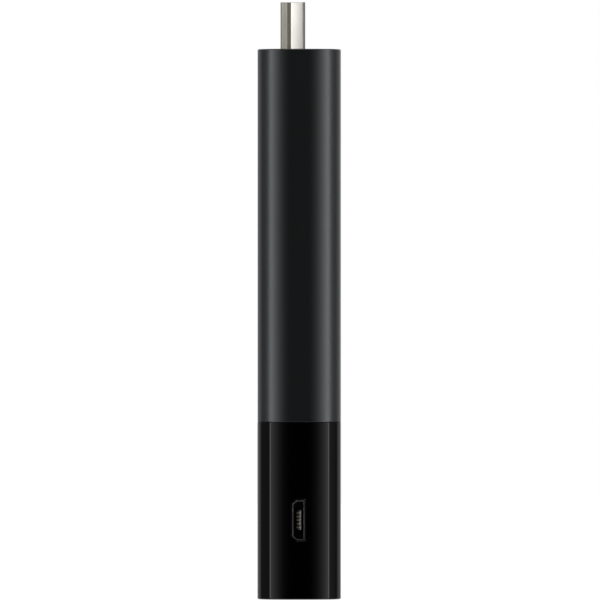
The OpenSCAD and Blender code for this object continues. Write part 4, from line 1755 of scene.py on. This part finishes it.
@dataclass
class Studio:
    """Floor, light and camera."""

    lens: float = 1000.0
    sensor: float = 36.0
    frame_height: float = 107.79 * MM
    frame_bottom: float = -0.04 * MM
    aim_x: float = 0.13 * MM
    floor_reach: float = 1.4
    floor_drop: float = 0.02 * MM
    floor_grey: float = 0.8
    floor_glow: float = 0.93
    panel_top: Pair = (0.62, 0.78)
    panel_foot: Pair = (-1.0, -0.96)
    ground: Pair = (-0.8, -0.4)
    ground_level: float = 0.4
    overhead: Pair = (0.86, 0.97)
    overhead_level: float = 0.5
    plug_card_rise: float = 51.0 * MM

    def build(self) -> None:
        """Builds the whole studio."""
        self.floor()
        self.world()
        self.cards()
        self.camera()

    def floor(self) -> None:
        """Builds the pale floor, which lights nothing."""
        reach, z = self.floor_reach, -self.floor_drop
        data = bpy.data.meshes.new("pale_floor")
        corners = [(-reach, -reach, z), (reach, -reach, z), (reach, reach, z), (-reach, reach, z)]
        data.from_pydata(corners, [], [(0, 1, 2, 3)])
        made = linked("pale_floor", data)
        paint = bpy.data.materials.new("pale_floor")
        paint.use_nodes = True
        graph = ShaderGraph(paint.node_tree)
        grey = (self.floor_grey, self.floor_grey, self.floor_grey, 1.0)
        glow = {"Emission Color": WHITE, "Emission Strength": self.floor_glow}
        looks = {"Base Color": grey, "Roughness": 0.8, "Specular IOR Level": 0.0, **glow}
        graph.add("OutputMaterial", {"Surface": graph.add("BsdfPrincipled", looks).outputs[0]})
        data.materials.append(paint)
        made.visible_glossy = False
        made.visible_diffuse = False

    def world(self) -> None:
        """Builds the light: a white background for the camera, and a dark studio for the player.

        The studio has the two tall panels, a pale ground and a soft light high above.
        """
        sky = bpy.data.worlds.new("soft_studio")
        bpy.context.scene.world = sky
        sky.use_nodes = True
        graph = ShaderGraph(sky.node_tree)
        way = graph.add("TexCoord").outputs["Generated"]
        axes = graph.add("SeparateXYZ", {"Vector": way}).outputs
        above = graph.remap(axes["Z"], self.panel_top, (1.0, 0.0))
        below = graph.remap(axes["Z"], self.panel_foot, (0.0, 1.0))
        level = graph.math("MULTIPLY", above, below)
        panels = self.panels(graph, axes["X"], axes["Y"])
        studio = graph.add("Background", {"Color": panels, "Strength": level})
        ground = graph.remap(axes["Z"], self.ground, (self.ground_level, 0.0))
        overhead = graph.remap(axes["Z"], self.overhead, (0.0, self.overhead_level))
        ends = graph.add("Background", {"Color": WHITE, "Strength": graph.math("ADD", ground, overhead)})
        room = graph.add("AddShader", {0: studio.outputs[0], 1: ends.outputs[0]})
        white = graph.add("Background", {"Color": WHITE, "Strength": 1.0})
        seen = graph.add("LightPath").outputs["Is Camera Ray"]
        both = graph.add("MixShader", {0: seen, 1: room.outputs[0], 2: white.outputs[0]})
        graph.add("OutputWorld", {"Surface": both.outputs[0]})

    def panels(self, graph: ShaderGraph, x: Socket, y: Socket) -> Socket:
        """Gives the tall soft panels on both sides of the camera.

        They are brightest at their far edge, about 76 degrees from the camera, and fade towards
        it. Beyond that edge the studio is dark until the light from behind takes over.

        Args:
            graph: the world's graph.
            x: X of the direction of view.
            y: Y of the direction of view.

        Returns:
            The panels' colour.
        """
        squares = [graph.math("MULTIPLY", side, side) for side in (x, y)]
        flat = graph.math("SQRT", graph.math("ADD", *squares))
        forward = graph.math("DIVIDE", graph.math("MULTIPLY", y, -1.0), graph.math("MAXIMUM", flat, 1e-4))
        turn = graph.math("DIVIDE", graph.math("ARCCOSINE", forward), math.pi)
        left, right = (self.panel_ramp(graph, turn, stops) for stops in (LEFT_PANEL, RIGHT_PANEL))
        return graph.shade_between(graph.math("GREATER_THAN", x, 0.0), left, right)

    def panel_ramp(self, graph: ShaderGraph, turn: Socket, stops: Sequence[Pair]) -> Socket:
        """Turns (angle, brightness) stops into a colour ramp.

        Args:
            graph: the world's graph.
            turn: the output socket that gives the angle from the camera, as a share of 180 degrees.
            stops: angle in degrees and brightness of each stop, from 0 to 180 degrees.

        Returns:
            The ramp's colour.
        """
        ramp = graph.add("ValToRGB", {"Fac": turn})
        elements = ramp.color_ramp.elements
        for angle, _ in stops[1:-1]:
            elements.new(angle / 180.0)
        for element, (_, level) in zip(elements, stops):
            element.color = (level, level, level, 1.0)
        return ramp.outputs["Color"]

    def cards(self) -> None:
        """Adds the two cards, one for the plug's shell and one for the socket's inside."""
        low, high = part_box("plug_shell")
        plug = Vector(((low.x + high.x) / 2.0, low.y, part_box("outer_sleeve")[1].z + self.plug_card_rise))
        low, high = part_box("socket_tongue")
        socket = Vector((high.x, low.y, (low.z + high.z) / 2.0))
        inside = ["socket_moulded_tongue", "socket_contact_row"]
        Card("plug_card", plug, -15.0, (95.0 * MM, 110.0 * MM), 0.068, ["plug_folded_shell"]).build()
        Card("socket_card", socket, 40.0, (30.0 * MM, 60.0 * MM), 0.095, inside).build()

    def camera(self) -> None:
        """Puts the camera level with the player's middle, facing its narrow side."""
        data = bpy.data.cameras.new("camera")
        data.lens, data.sensor_width = self.lens, self.sensor
        data.clip_start, data.clip_end = 0.01, 20.0
        made = linked("camera", data)
        distance = self.frame_height * self.lens / self.sensor
        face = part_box("end_cap")[0].y
        made.location = (self.aim_x, face - distance, self.frame_bottom + self.frame_height / 2.0)
        made.rotation_euler = (math.radians(90.0), 0.0, 0.0)
        bpy.context.scene.camera = made


def main() -> None:
    """Builds the player and its studio in order, and reports each piece."""
    logging.basicConfig(level=logging.INFO, format="%(name)s: %(message)s")
    bpy.context.scene.view_settings.view_transform = "Standard"
    row, plug, socket = row_tree(), PlugOutline(), SocketOutline()
    connectors = [VideoPlug(plug, row), PowerSocket(socket, row)]
    assemblies = [Sleeve(plug), EndCap(socket), *connectors, Electronics(parts_tree())]
    for assembly in assemblies:
        for made in assembly.build():
            finishes = ", ".join(finish.name for finish in made.data.materials if finish)
            LOG.info("%s: %d faces, %s", made.name, len(made.data.polygons), finishes)
    Studio().build()


if __name__ == "__main__":
    main()
